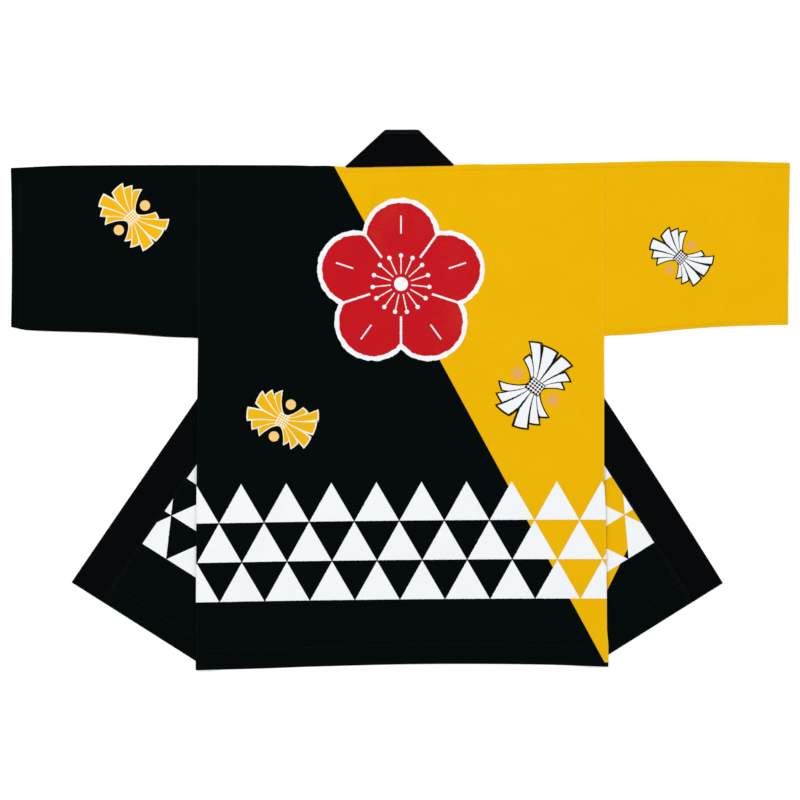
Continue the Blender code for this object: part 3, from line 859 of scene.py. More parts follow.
class Field:
    """A number that varies over the surface. Its operators add Math nodes."""

    def __init__(self, net: Net, socket: bpy.types.NodeSocket) -> None:
        """Wraps an output socket."""
        self.net = net
        self.socket = socket

    def __add__(self, other: Number) -> "Field":
        """Sum."""
        return self.net.math("ADD", self, other)

    __radd__ = __add__

    def __sub__(self, other: Number) -> "Field":
        """Difference."""
        return self.net.math("SUBTRACT", self, other)

    def __rsub__(self, other: Number) -> "Field":
        """Difference from a number."""
        return self.net.math("SUBTRACT", other, self)

    def __mul__(self, other: Number) -> "Field":
        """Product."""
        return self.net.math("MULTIPLY", self, other)

    __rmul__ = __mul__

    def __truediv__(self, other: Number) -> "Field":
        """Quotient."""
        return self.net.math("DIVIDE", self, other)

    def __rtruediv__(self, other: Number) -> "Field":
        """Quotient of a number."""
        return self.net.math("DIVIDE", other, self)

    def __neg__(self) -> "Field":
        """Opposite."""
        return self.net.math("MULTIPLY", self, -1.0)

    def __abs__(self) -> "Field":
        """Size without sign."""
        return self.net.math("ABSOLUTE", self)

    def __gt__(self, other: Number) -> "Field":
        """1 where it is greater, else 0."""
        return self.net.math("GREATER_THAN", self, other)

    def least(self, other: Number) -> "Field":
        """The smaller of the two."""
        return self.net.math("MINIMUM", self, other)

    def most(self, other: Number) -> "Field":
        """The greater of the two."""
        return self.net.math("MAXIMUM", self, other)

    def sine(self) -> "Field":
        """Sine."""
        return self.net.math("SINE", self)

    def root(self) -> "Field":
        """Square root."""
        return self.net.math("SQRT", self)

    def part(self) -> "Field":
        """What is left over a whole number."""
        return self.net.math("FRACT", self)

    def whole(self) -> "Field":
        """The whole number below."""
        return self.net.math("FLOOR", self)

    def inked(self, soft: float) -> "Field":
        """1 where a signed distance is below 0, with an edge that is soft metres wide."""
        return self.net.math("SUBTRACT", 0.5, self / soft, clamp=True)

    def fading(self, width: float) -> "Field":
        """1 at 0, falling to 0 at width to either side."""
        return self.net.math("SUBTRACT", 1.0, abs(self) / width, clamp=True)


def display(red: int, green: int, blue: int) -> tuple[float, float, float]:
    """A colour as a screen shows it, as the linear colour of cloth in this light."""

    def linear(value: int) -> float:
        """One channel."""
        share = value / 255
        return share / 12.92 if share <= 0.04045 else ((share + 0.055) / 1.055) ** 2.4

    return tuple(linear(value) / LIGHT for value in (red, green, blue))


# What white cloth sends back, against the screen's white
LIGHT = 1.18

BLACK = display(4, 9, 9)
BLACK_WORN = display(24, 29, 30)
COLLAR_BLACK = display(5, 7, 9)
COLLAR_STRIP = display(13, 17, 20)
# Painted shadow: the dark line under the collar's paler strip, where the band steps down
COLLAR_STEP_SHADOW = display(1, 2, 2)
COLLAR_SEAM = display(28, 6, 6)
BLACK_THREAD = display(19, 24, 25)
YELLOW = display(238, 182, 4)
YELLOW_WORN = display(246, 200, 60)
WHITE = display(245, 248, 251)
WHITE_WORN = display(228, 231, 234)
RED = display(198, 24, 33)
RIBBON_YELLOW = display(242, 184, 22)
LINE_WHITE = display(250, 246, 228)
LINE_BLACK = display(24, 20, 16)
DISC_ON_BLACK = display(253, 206, 126)
DISC_ON_YELLOW = display(230, 171, 90)
PALE = display(178, 170, 150)

# How far ink is pale on the wrong side, and how far rubbed ink goes to its worn colour
WRONG_PALE = 0.11
WRONG_PALE_WORN = 0.16
WORN_SHARE = 0.5

# How sharp the edge of the ink is, how far it bleeds, and how near the last row's top is read
INK_EDGE = 0.0005
BLEED = 0.0011
BLEED_SCALE = 420.0
ROW_END = 0.00001

# Neck band: how far its painted shadow line is over the step, how wide it and the seam's line
# are, and the strength of the seam's ink
NECK_SHADOW_RAISE = 0.0008
NECK_SHADOW_WIDTH = 0.0018
NECK_SEAM_WIDTH = 0.0016
NECK_SEAM_INK = 0.8


@dataclass(frozen=True)
class Frame2D:
    """Turned coordinates in a cut."""

    origin: tuple[float, float]
    angle: float

    def read(self, across: Field, up: Field) -> tuple[Field, Field]:
        """The turned coordinates of a place."""
        cos, sin = math.cos(self.angle), math.sin(self.angle)
        dx, dy = across - self.origin[0], up - self.origin[1]
        return dx * cos + dy * sin, dy * cos - dx * sin


@dataclass(frozen=True)
class ScaleRows:
    """Rows of white triangles that stand on each other's tips, the old fish-scale pattern.

    The lowest row starts at the frame's origin. Inset is how much ground shows along the slanting
    sides, lean how far the rows lean across for each metre up, and bow how far the middle of a
    row stands up over its length.
    """

    frame: Frame2D
    base: float = 0.0721
    height: float = 0.0630
    rows: int = 3
    inset: float = 0.0006
    lean: float = 0.0
    bow: float = 0.0
    length: float = 1.0

    def mask(self, across: Field, up: Field) -> Field:
        """1 on the triangles."""
        u, v = self.frame.read(across, up)
        v = v - u * (self.length - u) * (4 * self.bow / self.length**2)
        u = u - v * self.lean
        level = v.most(0.0).least(self.rows * self.height - ROW_END) / self.height
        row = level.whole()
        rise = level.part()
        slot = (u / self.base + row * 0.5).part()
        past_side = abs(slot - 0.5) - (1 - rise) * 0.5
        slant = past_side * (self.base * math.sin(math.pi / 3)) + self.inset
        band = (-v).most(v - self.rows * self.height)
        return slant.most(band).inked(INK_EDGE)


@dataclass(frozen=True)
class Slope:
    """A straight edge between two colours, with the second colour on its right going down."""

    start: tuple[float, float]
    end: tuple[float, float]
    low: float = -FAR

    def distance(self, across: Field, up: Field) -> Field:
        """Signed distance, below 0 on the second colour's side."""
        run = unit(flat_point(self.end) - flat_point(self.start))
        beside = (across - self.start[0]) * run[1] - (up - self.start[1]) * run[0]
        return beside.most(self.low - up)


class Strip(NamedTuple):
    """How long a strip of a bundle is at its two edges, as shares of the longest."""

    near: float
    far: float


@dataclass(frozen=True)
class RibbonBundle:
    """A bundle of paper strips tied at the middle, spread out as a fan on either side.

    Its sizes are shares of its reach, but for line_width in metres. The strips are narrower
    by crowd in the middle of a fan. They stand apart by up to notch at their ends, from
    notch_start on, and the waves in vary make those gaps uneven. Curl turns a fan on its way
    out. Lines are fine at the knot, by the first value of taper, and widen by the second.
    """

    knot: tuple[float, float]
    angle: float
    reach: float
    fill: tuple[float, float, float]
    line: tuple[float, float, float]
    disc: tuple[float, float, float]
    disc_reach: float = 0.48
    disc_radius: float = 0.135
    line_width: float = 0.0019
    notch: float = 0.22
    notch_start: float = 0.58
    spread: float = math.radians(65)
    waist: float = 0.13
    curl: float = 0.34
    check: float = 0.048
    tie: tuple[float, float] = (0.13, 0.16)
    crowd: float = 0.10
    vary: tuple[float, float] = (2.7, 1.3)
    taper: tuple[float, float] = (0.22, 1.6)
    strips: tuple[Strip, ...] = (
        Strip(0.73, 0.66),
        Strip(0.84, 0.81),
        Strip(0.93, 0.99),
        Strip(0.82, 0.94),
        Strip(0.80, 0.86),
        Strip(0.72, 0.79),
        Strip(0.64, 0.57),
        Strip(0.78, 0.72),
        Strip(0.93, 0.87),
        Strip(0.88, 0.91),
        Strip(0.95, 0.99),
        Strip(0.71, 0.64),
    )

    def strip_end(self, net: Net, strip: Field, second_fan: Field) -> Field:
        """Where the strip at a place between the edges ends."""
        in_fan = len(self.strips) // 2
        index = strip.whole().most(0.0).least(in_fan - 1.0)
        across = (strip - index).most(0.0).least(1.0)
        place = (index + 0.5 + second_fan * float(in_fan)) / float(2 * in_fan)
        stops = [(i / (2 * in_fan), (s.near, s.far, 0.0)) for i, s in enumerate(self.strips)]
        settings = {"stops": stops, "interpolation": "CONSTANT"}
        ramp = net.node("ShaderNodeValToRGB", settings, {0: place})
        ends = net.node("ShaderNodeSeparateColor", inputs={0: ramp.outputs[0]})
        near, far = Field(net, ends.outputs[0]), Field(net, ends.outputs[1])
        return near + (far - near) * across

    def over(self, net: Net, across: Field, up: Field, ground: object) -> bpy.types.NodeSocket:
        """The colour with this bundle printed over the ground."""
        u, v = Frame2D(self.knot, self.angle).read(across, up)
        x, y = u / self.reach, v / self.reach
        half_line = self.line_width / 2 / self.reach
        soft = INK_EDGE / self.reach
        in_fan = len(self.strips) // 2
        away = (x * x + y * y).root()
        along_axis = (x * x + self.waist**2).root()
        turn = net.math("ARCTANGENT", y / along_axis) * (1 + (1 - away) * self.curl)
        second_fan = x > 0.0
        fan = turn / self.spread
        edge = fan - (fan * math.pi).sine() * self.crowd
        strip = (edge + 1) * (in_fan / 2)
        width = (away * away + self.waist**2).root() * (self.spread * 2 / in_fan)
        slip = half_line / width
        end = self.strip_end(net, strip, second_fan)
        reach = end.most(self.strip_end(net, strip + slip, second_fan))
        reach = reach.most(self.strip_end(net, strip - slip, second_fan))
        beside = (abs(edge) - 1) * (in_fan / 2) * width
        border = (strip + 0.5).whole()
        inner = (border > 0.5) * (in_fan - border > 0.5)
        wave = (border * self.vary[0] + second_fan * self.vary[1]).sine() * 0.5 + 0.5
        opening = wave * self.notch * inner
        gap = (away - self.notch_start).most(0.0) * opening
        between = (0.5 - abs(strip.part() - 0.5)) * width
        outline = (away - reach - half_line).most(beside - half_line)
        outline = outline.most(gap - between - half_line)
        between = between - gap
        taper = (abs(x) * self.taper[1] + self.taper[0]).least(1.0) * half_line
        body = (taper - between).most(away - end + half_line).most(beside + half_line)
        colour = net.mix(outline.inked(soft), ground, self.line)
        colour = net.mix(body.inked(soft), colour, self.fill)
        tie = (abs(x) - self.tie[0]).most(abs(y) - self.tie[1])
        side = self.check * math.sqrt(2)
        strings = ((x + y) / side).whole() + ((x - y) / side + 0.5).whole()
        checked = (strings * 0.5).part() > 0.25
        colour = net.mix((tie - half_line).inked(soft), colour, self.line)
        colour = net.mix(tie.inked(soft) * checked, colour, self.fill)
        apart = ((abs(y) - self.disc_reach) * (abs(y) - self.disc_reach) + x * x).root()
        return net.mix((apart - self.disc_radius).inked(soft), colour, self.disc)


@dataclass(frozen=True)
class PlumBlossom:
    """A plum blossom with five round petals, stamens and a light border.

    Its places and sizes are shares of its radius. Border, rough, anther and half widths are
    in metres. Split is where the line between two petals starts, and vein and stalk hold where
    each starts and ends.
    """

    centre: tuple[float, float]
    radius: float
    angle: float
    border: float = 0.0075
    petals: int = 5
    petal_place: float = 0.58
    petal_size: float = 0.42
    core: float = 0.5
    rough: float = 0.004
    split: float = 0.40
    split_half: float = 0.0017
    vein: tuple[float, float] = (0.62, 0.84)
    vein_half: float = 0.0012
    stamens: int = 15
    stalk: tuple[float, float] = (0.13, 0.35)
    stalk_half: float = 0.0009
    anther: float = 0.0034
    heart: float = 0.085

    def over(self, net: Net, across: Field, up: Field, ground: object) -> bpy.types.NodeSocket:
        """The colour with the blossom printed over the ground."""
        u, v = Frame2D(self.centre, self.angle).read(across, up)
        away = (u * u + v * v).root()
        petal = 2 * math.pi / self.petals
        turn, px, py = self.sector(net, u, v, petal)
        centre, size = self.petal_place * self.radius, self.petal_size * self.radius
        from_petal = ((px - centre) * (px - centre) + py * py).root()
        brush = net.noise(across, up, 90.0, 3.0) - 0.5
        flower = (from_petal - size).least(away - self.core * self.radius) + brush * self.rough
        colour = net.mix((flower - self.border).inked(INK_EDGE), ground, WHITE)
        colour = net.mix(flower.inked(INK_EDGE), colour, RED)
        side = away * (petal / 2 - abs(turn)).sine()
        split = (abs(side) - self.split_half).most(self.split * self.radius - away)
        start, end = self.vein[0] * self.radius, self.vein[1] * self.radius
        vein = (abs(py) - self.vein_half).most(start - away).most(away - end)
        colour = net.mix(split.inked(INK_EDGE) * flower.inked(INK_EDGE), colour, WHITE)
        colour = net.mix(vein.inked(INK_EDGE), colour, WHITE)
        _, sx, sy = self.sector(net, u, v, 2 * math.pi / self.stamens)
        root, tip = self.stalk[0] * self.radius, self.stalk[1] * self.radius
        stalk = (abs(sy) - self.stalk_half).most(root - away).most(away - tip)
        anther = ((sx - tip) * (sx - tip) + sy * sy).root() - self.anther
        stamens = stalk.least(anther).least(away - self.heart * self.radius)
        return net.mix(stamens.inked(INK_EDGE), colour, WHITE)

    @staticmethod
    def sector(net: Net, u: Field, v: Field, width: float) -> tuple[Field, Field, Field]:
        """A place in the nearest of equal sectors: its angle, and how far along and beside."""
        away = (u * u + v * v).root()
        turn = ((net.math("ARCTAN2", v, u) / width + 0.5).part() - 0.5) * width
        return turn, away * net.math("COSINE", turn), away * turn.sine()


@dataclass(frozen=True)
class Cotton:
    """Plain-weave cotton, printed: its threads, slubs, worn edges and stitched lines.

    Pitches and widths are in metres, a width to either side, pucker_pitch is an angle a metre,
    and a scale is how many cells of noise a metre has. Slubs are drawn out by slub_stretch.
    Bump holds the relief's depth and strength, and sheen its weight and roughness.
    """

    pitch: float = 0.00105
    slub_scale: float = 900.0
    slub_stretch: float = 0.09
    cloud_scale: float = 14.0
    ragged_scale: float = 160.0
    press_width: float = 0.0022
    pull_width: float = 0.0016
    pucker_width: float = 0.010
    pucker_pitch: float = 520.0
    bump: tuple[float, float] = (0.0004, 0.55)
    gloss: float = 0.012
    sheen: tuple[float, float] = (0.004, 0.6)

    def dress(self, net: Net, across: Field, up: Field, colour: object, worn: object) -> None:
        """Finishes the cloth.

        Args:
            net: the finish's nodes.
            across: the cut's coordinate across.
            up: the cut's coordinate up.
            colour: the ink on the cloth.
            worn: what the ink turns to where it is rubbed.
        """
        per_metre = math.pi / self.pitch
        warp, weft = (across * per_metre).sine(), (up * per_metre).sine()
        weave = warp * weft
        slub_up = net.noise(across, up * self.slub_stretch, self.slub_scale, 2.0)
        slub_across = net.noise(across * self.slub_stretch, up, self.slub_scale, 2.0)
        slubs = slub_up + slub_across - 1.0
        cloud = net.noise(across, up, self.cloud_scale, 3.0) - 0.5
        edge = net.number("edge")
        ragged = net.noise(across, up, self.ragged_scale, 3.0)
        rub = net.math("MULTIPLY", edge * edge, ragged * 0.9, clamp=True)
        fade = net.math("ADD", rub, cloud * 0.16 + slubs * 0.12 + weave * 0.02, clamp=True)
        colour = net.mix(fade, colour, worn)
        press = net.number("press").fading(self.press_width) * (0.4 + ragged)
        # Pressed lines are dented in the bump and also painted darker here: painted shade in the
        # crease
        shade = 1 + slubs * 0.07 + weave * 0.03 + cloud * 0.05 - press * 0.08
        values = {0: colour, "Scale": shade}
        toned = net.node("ShaderNodeVectorMath", {"operation": "SCALE"}, values)
        net.feed(net.shader.inputs["Base Color"], toned.outputs[0])
        net.feed(net.shader.inputs["Roughness"], 0.86 + slubs * 0.10)
        stitch = net.number("stitch")
        pull = stitch.fading(self.pull_width)
        waves = (across * self.pucker_pitch + ragged * 5.0).sine()
        pucker = waves * (up * self.pucker_pitch).sine()
        near = stitch.fading(self.pucker_width)
        height = weave * 0.10 + slubs * 0.55 - pull * 0.5 + pucker * near * near * 0.35 - press
        depth, strength = self.bump
        bump = net.node("ShaderNodeBump", inputs={"Strength": strength, "Distance": depth})
        net.feed(bump.inputs["Height"], height)
        net.feed(net.shader.inputs["Normal"], bump.outputs[0])
        net.shader.inputs["Specular IOR Level"].default_value = self.gloss
        net.shader.inputs["Sheen Weight"].default_value = self.sheen[0]
        net.shader.inputs["Sheen Roughness"].default_value = self.sheen[1]
        net.shader.inputs["Metallic"].default_value = 0.0


class Print:
    """What is printed on one panel, for its right side and its wrong side."""

    def __init__(self, name: str) -> None:
        """Names the finish."""
        self.name = name

    def ink(self, net: Net, across: Field, up: Field, side: Side) -> tuple[object, object]:
        """The ink's colour and its worn colour. Each print gives its own."""
        raise NotImplementedError

    def finish(self, side: Side) -> bpy.types.Material:
        """The material of one side of the cloth."""
        net = Net(f"{self.name}_{side.name.lower()}")
        across, up = net.cut()
        colour, worn = self.ink(net, across, up, side)
        if side is Side.WRONG:
            colour = net.mix(WRONG_PALE, colour, PALE)
            worn = net.mix(WRONG_PALE_WORN, worn, PALE)
        Cotton().dress(net, across, up, colour, worn)
        return net.material


class PlainPrint(Print):
    """One colour of ink, with a bundle of ribbons on it where there is one."""

    def __init__(
        self, name: str, colour: tuple, worn: tuple, bundle: RibbonBundle | None = None
    ) -> None:
        """Keeps the colours and the ornament."""
        super().__init__(name)
        self.colour, self.worn, self.bundle = colour, worn, bundle

    def ink(self, net: Net, across: Field, up: Field, side: Side) -> tuple[object, object]:
        """The ground with the ornament over it."""
        colour: object = self.colour
        if self.bundle and side is Side.RIGHT:
            colour = self.bundle.over(net, across, up, colour)
        return colour, net.mix(WORN_SHARE, colour, self.worn)


class NeckPrint(Print):
    """Black, with a paler strip along the top, a painted shadow line below it and a dark red seam
    line.
    """

    def ink(self, net: Net, across: Field, up: Field, side: Side) -> tuple[object, object]:
        """The plain ink with the strip, the painted shadow line under it and the seam line over
        it.
        """
        over_shadow_line = up - (COLLAR_TOP_Y - COLLAR_LIP + NECK_SHADOW_RAISE)
        colour = net.mix((-over_shadow_line).inked(INK_EDGE), COLLAR_BLACK, COLLAR_STRIP)
        # Painted shadow: a dark line where the band steps down below its strip
        colour = net.mix(over_shadow_line.fading(NECK_SHADOW_WIDTH), colour, COLLAR_STEP_SHADOW)
        seam = net.number("stitch").fading(NECK_SEAM_WIDTH) * NECK_SEAM_INK
        colour = net.mix(seam, colour, COLLAR_SEAM)
        return colour, net.mix(WORN_SHARE, colour, BLACK_WORN)


class BodyPrint(Print):
    """Black and yellow grounds that meet at a slope, rows of triangles and ornaments."""

    def __init__(
        self,
        name: str,
        slope: Slope | None,
        rows: ScaleRows,
        ornaments: Sequence[RibbonBundle | PlumBlossom] = (),
    ) -> None:
        """Keeps the parts of the print."""
        super().__init__(name)
        self.slope, self.rows, self.ornaments = slope, rows, ornaments

    def ink(self, net: Net, across: Field, up: Field, side: Side) -> tuple[object, object]:
        """The grounds, the rows and the ornaments over each other."""
        bleed = (net.noise(across, up, BLEED_SCALE, 2.0) - 0.5) * BLEED
        u, v = across + bleed, up - bleed
        colour: object = BLACK
        worn: object = BLACK_WORN
        if self.slope:
            yellow = self.slope.distance(u, v).inked(INK_EDGE)
            colour = net.mix(yellow, BLACK, YELLOW)
            worn = net.mix(yellow, BLACK_WORN, YELLOW_WORN)
        scales = self.rows.mask(u, v)
        colour = net.mix(scales, colour, WHITE)
        worn = net.mix(scales, worn, WHITE_WORN)
        for ornament in self.ornaments if side is Side.RIGHT else ():
            colour = ornament.over(net, u, v, colour)
        return colour, net.mix(WORN_SHARE, colour, worn)


def read_rows(at: np.ndarray, travelled: np.ndarray, rows: np.ndarray) -> np.ndarray:
    """Rows of three values, read at places along the line that they belong to."""
    return np.column_stack([np.interp(at, travelled, rows[:, k]) for k in range(3)])


@dataclass
class Thread:
    """Machine stitches along a line, each a small thread with both ends in the cloth.

    Depth, arch and sink are shares of the thread's width: how thick it is, how far its middle
    stands up and how deep it lies. Ply is how close its plies are, as an angle a metre.
    """

    name: str
    colour: tuple[float, float, float]
    length: float = 0.0029
    pitch: float = 0.0036
    width: float = 0.00042
    depth: float = 0.8
    arch: float = 0.35
    sink: float = 0.25
    ply: float = 9000.0
    lines: Sequence[Laid] = ()

    def stitch(self) -> tuple[np.ndarray, list[list[int]]]:
        """One stitch along +X with +Z out of the cloth, modelled from a small sphere."""
        bpy.ops.object.select_all(action="DESELECT")
        bpy.ops.mesh.primitive_uv_sphere_add(segments=6, ring_count=4, radius=0.5)
        made = bpy.context.object
        bpy.ops.object.mode_set(mode="EDIT")
        bpy.ops.mesh.select_all(action="SELECT")
        bpy.ops.transform.rotate(
            value=math.pi / 2, orient_axis="Y", center_override=(0.0, 0.0, 0.0)
        )
        bpy.ops.transform.resize(value=(self.length, self.width, self.width * self.depth))
        bpy.ops.object.mode_set(mode="OBJECT")
        vertices = np.array([tuple(v.co) for v in made.data.vertices])
        rise = 1 - (2 * vertices[:, 0] / self.length) ** 2
        vertices[:, 2] += self.width * (self.arch * rise - self.sink)
        faces = [list(p.vertices) for p in made.data.polygons]
        bpy.data.objects.remove(made, do_unlink=True)
        return vertices, faces

    def build(self) -> bpy.types.Object:
        """Sets a stitch at every pitch of every line and joins them."""
        vertices, faces = self.stitch()
        all_vertices, all_faces = [], []
        for line in self.lines:
            middle = line.middle.copy()
            middle[:, 2] += relief(middle[:, :2])
            steps = np.linalg.norm(np.diff(middle, axis=0), axis=1)
            travelled = np.concatenate([[0.0], np.cumsum(steps)])
            count = int(travelled[-1] / self.pitch)
            starts = np.arange(count) * self.pitch
            firsts = read_rows(starts, travelled, middle)
            lasts = read_rows(starts + self.length, travelled, middle)
            for a, b, out in zip(firsts, lasts, read_rows(starts, travelled, line.way)):
                along_x = unit(b - a)
                along_y = unit(np.cross(out, along_x))
                axes = np.array([along_x, along_y, np.cross(along_x, along_y)])
                shift = len(all_vertices) * len(vertices)
                all_vertices.append((a + b) / 2 + vertices @ axes)
                all_faces += [[shift + k for k in face] for face in faces]
        mesh = bpy.data.meshes.new(self.name)
        mesh.from_pydata(np.vstack(all_vertices).tolist(), [], all_faces)
        piece = add_piece(self.name, mesh)
        piece.data.materials.append(self.finish())
        return piece

    def finish(self) -> bpy.types.Material:
        """Twisted cotton thread: slanted plies in its shade and its bump."""
        net = Net(f"{self.name}_thread")
        place = net.node("ShaderNodeTexCoord")
        parts = net.node("ShaderNodeSeparateXYZ", inputs={0: place.outputs["Object"]})
        x, y = Field(net, parts.outputs[0]), Field(net, parts.outputs[1])
        ply = ((x + y) * self.ply).sine()
        lighter = tuple(min(1.0, value * 1.5 + 0.004) for value in self.colour)
        net.feed(net.shader.inputs["Base Color"], net.mix(ply * 0.5 + 0.5, self.colour, lighter))
        net.shader.inputs["Roughness"].default_value = 0.6
        net.shader.inputs["Specular IOR Level"].default_value = 0.08
        bump = net.node("ShaderNodeBump", inputs={"Strength": 0.4, "Distance": 0.0001})
        net.feed(bump.inputs["Height"], ply)
        net.feed(net.shader.inputs["Normal"], bump.outputs[0])
        return net.material


def box_size(outline: np.ndarray) -> tuple[float, float]:
    """How wide and how high an outline is."""
    size = outline.max(axis=0) - outline.min(axis=0)
    return float(size[0]), float(size[1])


@dataclass
class Panel:
    """A finished piece of cloth with what the frame has to know of it."""

    piece: bpy.types.Object
    node: str
    slot: str
    flat: tuple[float, float]
    area: float
    held: str
    rests_on: list[str]
    threads: list[bpy.types.Object] = field(default_factory=list)

    def hand_over(self) -> None:
        """Tells the frame what the piece replaces and rides on."""
        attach(self.piece, "root")
        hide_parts(self.node)
        for thread in self.threads:
            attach(thread, "root")
        LOG.info("%s: %d faces", self.piece.name, len(self.piece.data.polygons))


def apart(values: np.ndarray, marks: Sequence[float], distance: float) -> list[float]:
    """The values that are further than a distance from every mark."""
    return [v for v in values if min(abs(v - mark) for mark in marks) > distance]


def surface_line(laid: Laid, lift: np.ndarray | float, flip: bool = False) -> Laid:
    """A line on the face of a wall, from a line along its middle."""
    sign = -1.0 if flip else 1.0
    lifted = np.broadcast_to(np.asarray(lift, dtype=float), (len(laid.middle),))
    return Laid(laid.middle + sign * laid.way * lifted[:, None], sign * laid.way)


@dataclass
class Back:
    """The back panel, laid over both fronts and turned over the shoulders."""

    sides: tuple[FrontSide, FrontSide]
    name: str = "back_cloth"
    half_wall: float = CLOTH_SHELL / 2
    line_points: int = 400

    def neck(self) -> np.ndarray:
        """The collar behind the neck as it lies: base from left to right, then the top."""
        top = ((COLLAR_TOP_RIGHT, COLLAR_TOP_Y), (COLLAR_TOP_LEFT, COLLAR_TOP_Y))
        return np.array([NECK_LEFT, NECK_RIGHT, *top])

    def height(self, points: np.ndarray) -> np.ndarray:
        """Middle of the wall: over the fronts, held up at the neck, else on the floor."""
        top = CLOTH / 2 + 2 * (BAND + LAYER_GAP)
        hung = CLOTH / 2 + (top - CLOTH / 2) * cover(self.neck(), points, NECK_SLOPE)
        return np.maximum.reduce([hung, *(side.back_height(points) for side in self.sides)])

    def front_height(self, points: np.ndarray) -> np.ndarray:
        """Middle of the front's wall, which the shoulder's turn comes down to."""
        left, right = (side.layer_height(points) for side in self.sides)
        return np.where(points[:, 0] < 0, left, right)

    def place(self, points: np.ndarray) -> Laid:
        """Where the points of the cut lie."""
        tangent = shoulder_tangent(points[:, 0])
        past = points[:, 1] - tangent
        base = np.column_stack([points[:, 0], np.minimum(points[:, 1], tangent)])
        upper, lower = self.height(base), self.front_height(base)
        laid = turned(base, np.array([0.0, 1.0]), upper, lower, past / SHOULDER_ARC)
        flat = past <= TOUCHING
        laid.middle[flat] = np.column_stack([base, upper])[flat]
        laid.way[flat] = (0.0, 0.0, 1.0)
        return laid

    def hem_height(self, points: np.ndarray) -> np.ndarray:
        """How far points lie above the hem."""
        return points[:, 1] - along(BACK_HEM, points[:, 0])

    def shoulder_row(self, start: float, end: float, rise: float) -> np.ndarray:
        """Points of a shoulder edge from x to x, rise past where the turn starts."""
        count = max(1, round(abs(end - start) / FINE))
        xs = start + (end - start) * np.arange(count + 1) / count
        return np.column_stack([xs, shoulder_tangent(xs) + rise])

    def side_row(self, edge: tuple[Station, ...]) -> np.ndarray:
        """Points of a side edge from the hem to where the shoulder's turn starts."""
        top_x = float(edge_x(edge, SHOULDER_Y))
        high = np.array([top_x, float(shoulder_tangent(top_x))])
        points = np.vstack([polyline(flat_point(edge[0]), high, FINE), high])
        points[:, 0] = edge_x(edge, points[:, 1])
        return points

    def outline(self) -> np.ndarray:
        """The body's outline: hem from the left, right side, shoulders and left side."""
        start, end = BACK_HEM[0].x, BACK_HEM[-1].x
        count = round((end - start) / FINE)
        xs = start + (end - start) * np.arange(count) / count
        hem = np.column_stack([xs, along(BACK_HEM, xs)])
        left, right = self.shoulder_ends()
        stops = [right, NECK_RIGHT[0], NECK_LEFT[0], left]
        rows = [self.shoulder_row(a, b, 0.0)[1:] for a, b in zip(stops, stops[1:])]
        left_side = self.side_row(BODY_LEFT_EDGE)[::-1][1:-1]
        return np.vstack([hem, self.side_row(BODY_RIGHT_EDGE), *rows, left_side])

    def shoulder_ends(self) -> tuple[float, float]:
        """Where the shoulders end at the two armholes."""
        left = float(edge_x(BODY_LEFT_EDGE, SHOULDER_Y))
        return left, float(edge_x(BODY_RIGHT_EDGE, SHOULDER_Y))

    def fill(self) -> Fill:
        """The filled cut, with the turns over the shoulders as rows along it."""
        body = filled(self.outline(), FINE)
        points, triangles = [body.points], [body.triangles]
        total = len(body.points)
        left, right = self.shoulder_ends()
        for start, end in ((left, NECK_LEFT[0]), (NECK_RIGHT[0], right)):
            first = self.shoulder_row(start, end, 0.0)
            gaps = np.linalg.norm(body.points[None, :, :] - first[:, None, :], axis=2)
            ids = np.argmin(gaps, axis=1)
            for step in range(1, ROLL_STEPS + 1):
                row = self.shoulder_row(start, end, SHOULDER_ARC * step / ROLL_STEPS)
                row_ids = total + np.arange(len(row))
                a, b, c, d = ids[:-1], ids[1:], row_ids[1:], row_ids[:-1]
                triangles += [np.column_stack([a, b, c]), np.column_stack([a, c, d])]
                points.append(row)
                total += len(row)
                ids = row_ids
        return Fill(np.vstack(points), np.vstack(triangles))

    def build(self) -> Panel:
        """The back as a shell, with the stitches of its hem."""
        fill = self.fill()
        above = self.hem_height(fill.points)
        raised = HEM_RAISE * (1 - smooth((above - HEM_DEPTH) / HEM_STEP))
        wall = np.full(len(fill.points), self.half_wall)
        shell = Shell(
            name=self.name,
            fill=fill,
            laid=self.place(fill.points),
            outer=wall + raised,
            inner=wall,
            facing=Side.RIGHT,
            stitch=above - HEM_DEPTH,
            press=from_press(fill.points),
        )
        outline = self.outline()
        return Panel(
            piece=shell.build(),
            node="back_panel",
            slot="body_cotton",
            flat=box_size(outline),
            area=polygon_area(outline),
            held="laid",
            rests_on=["front_left_cloth", "front_right_cloth"],
            threads=[thread.build() for thread in self.hem_threads()],
        )

    def hem_threads(self) -> list[Thread]:
        """The stitches that hold the hem up, in the colour of the ground they cross."""
        first, last = BACK_HEM[0].x + THREAD_STEP, BACK_HEM[-1].x - THREAD_STEP
        xs = np.linspace(first, last, self.line_points)
        points = np.column_stack([xs, along(BACK_HEM, xs) + HEM_DEPTH - THREAD_INSET])
        start, end = flat_point(BACK_SLOPE.start), flat_point(BACK_SLOPE.end)
        yellow = xs > np.interp(points[:, 1], [end[1], start[1]], [end[0], start[0]])
        line = surface_line(self.place(points), self.half_wall + HEM_RAISE)
        black_part = Laid(line.middle[~yellow], line.way[~yellow])
        yellow_part = Laid(line.middle[yellow], line.way[yellow])
        return [
            Thread("stitches_back_hem", BLACK_THREAD, lines=[black_part]),
            Thread("stitches_back_hem_yellow", YELLOW, lines=[yellow_part]),
        ]


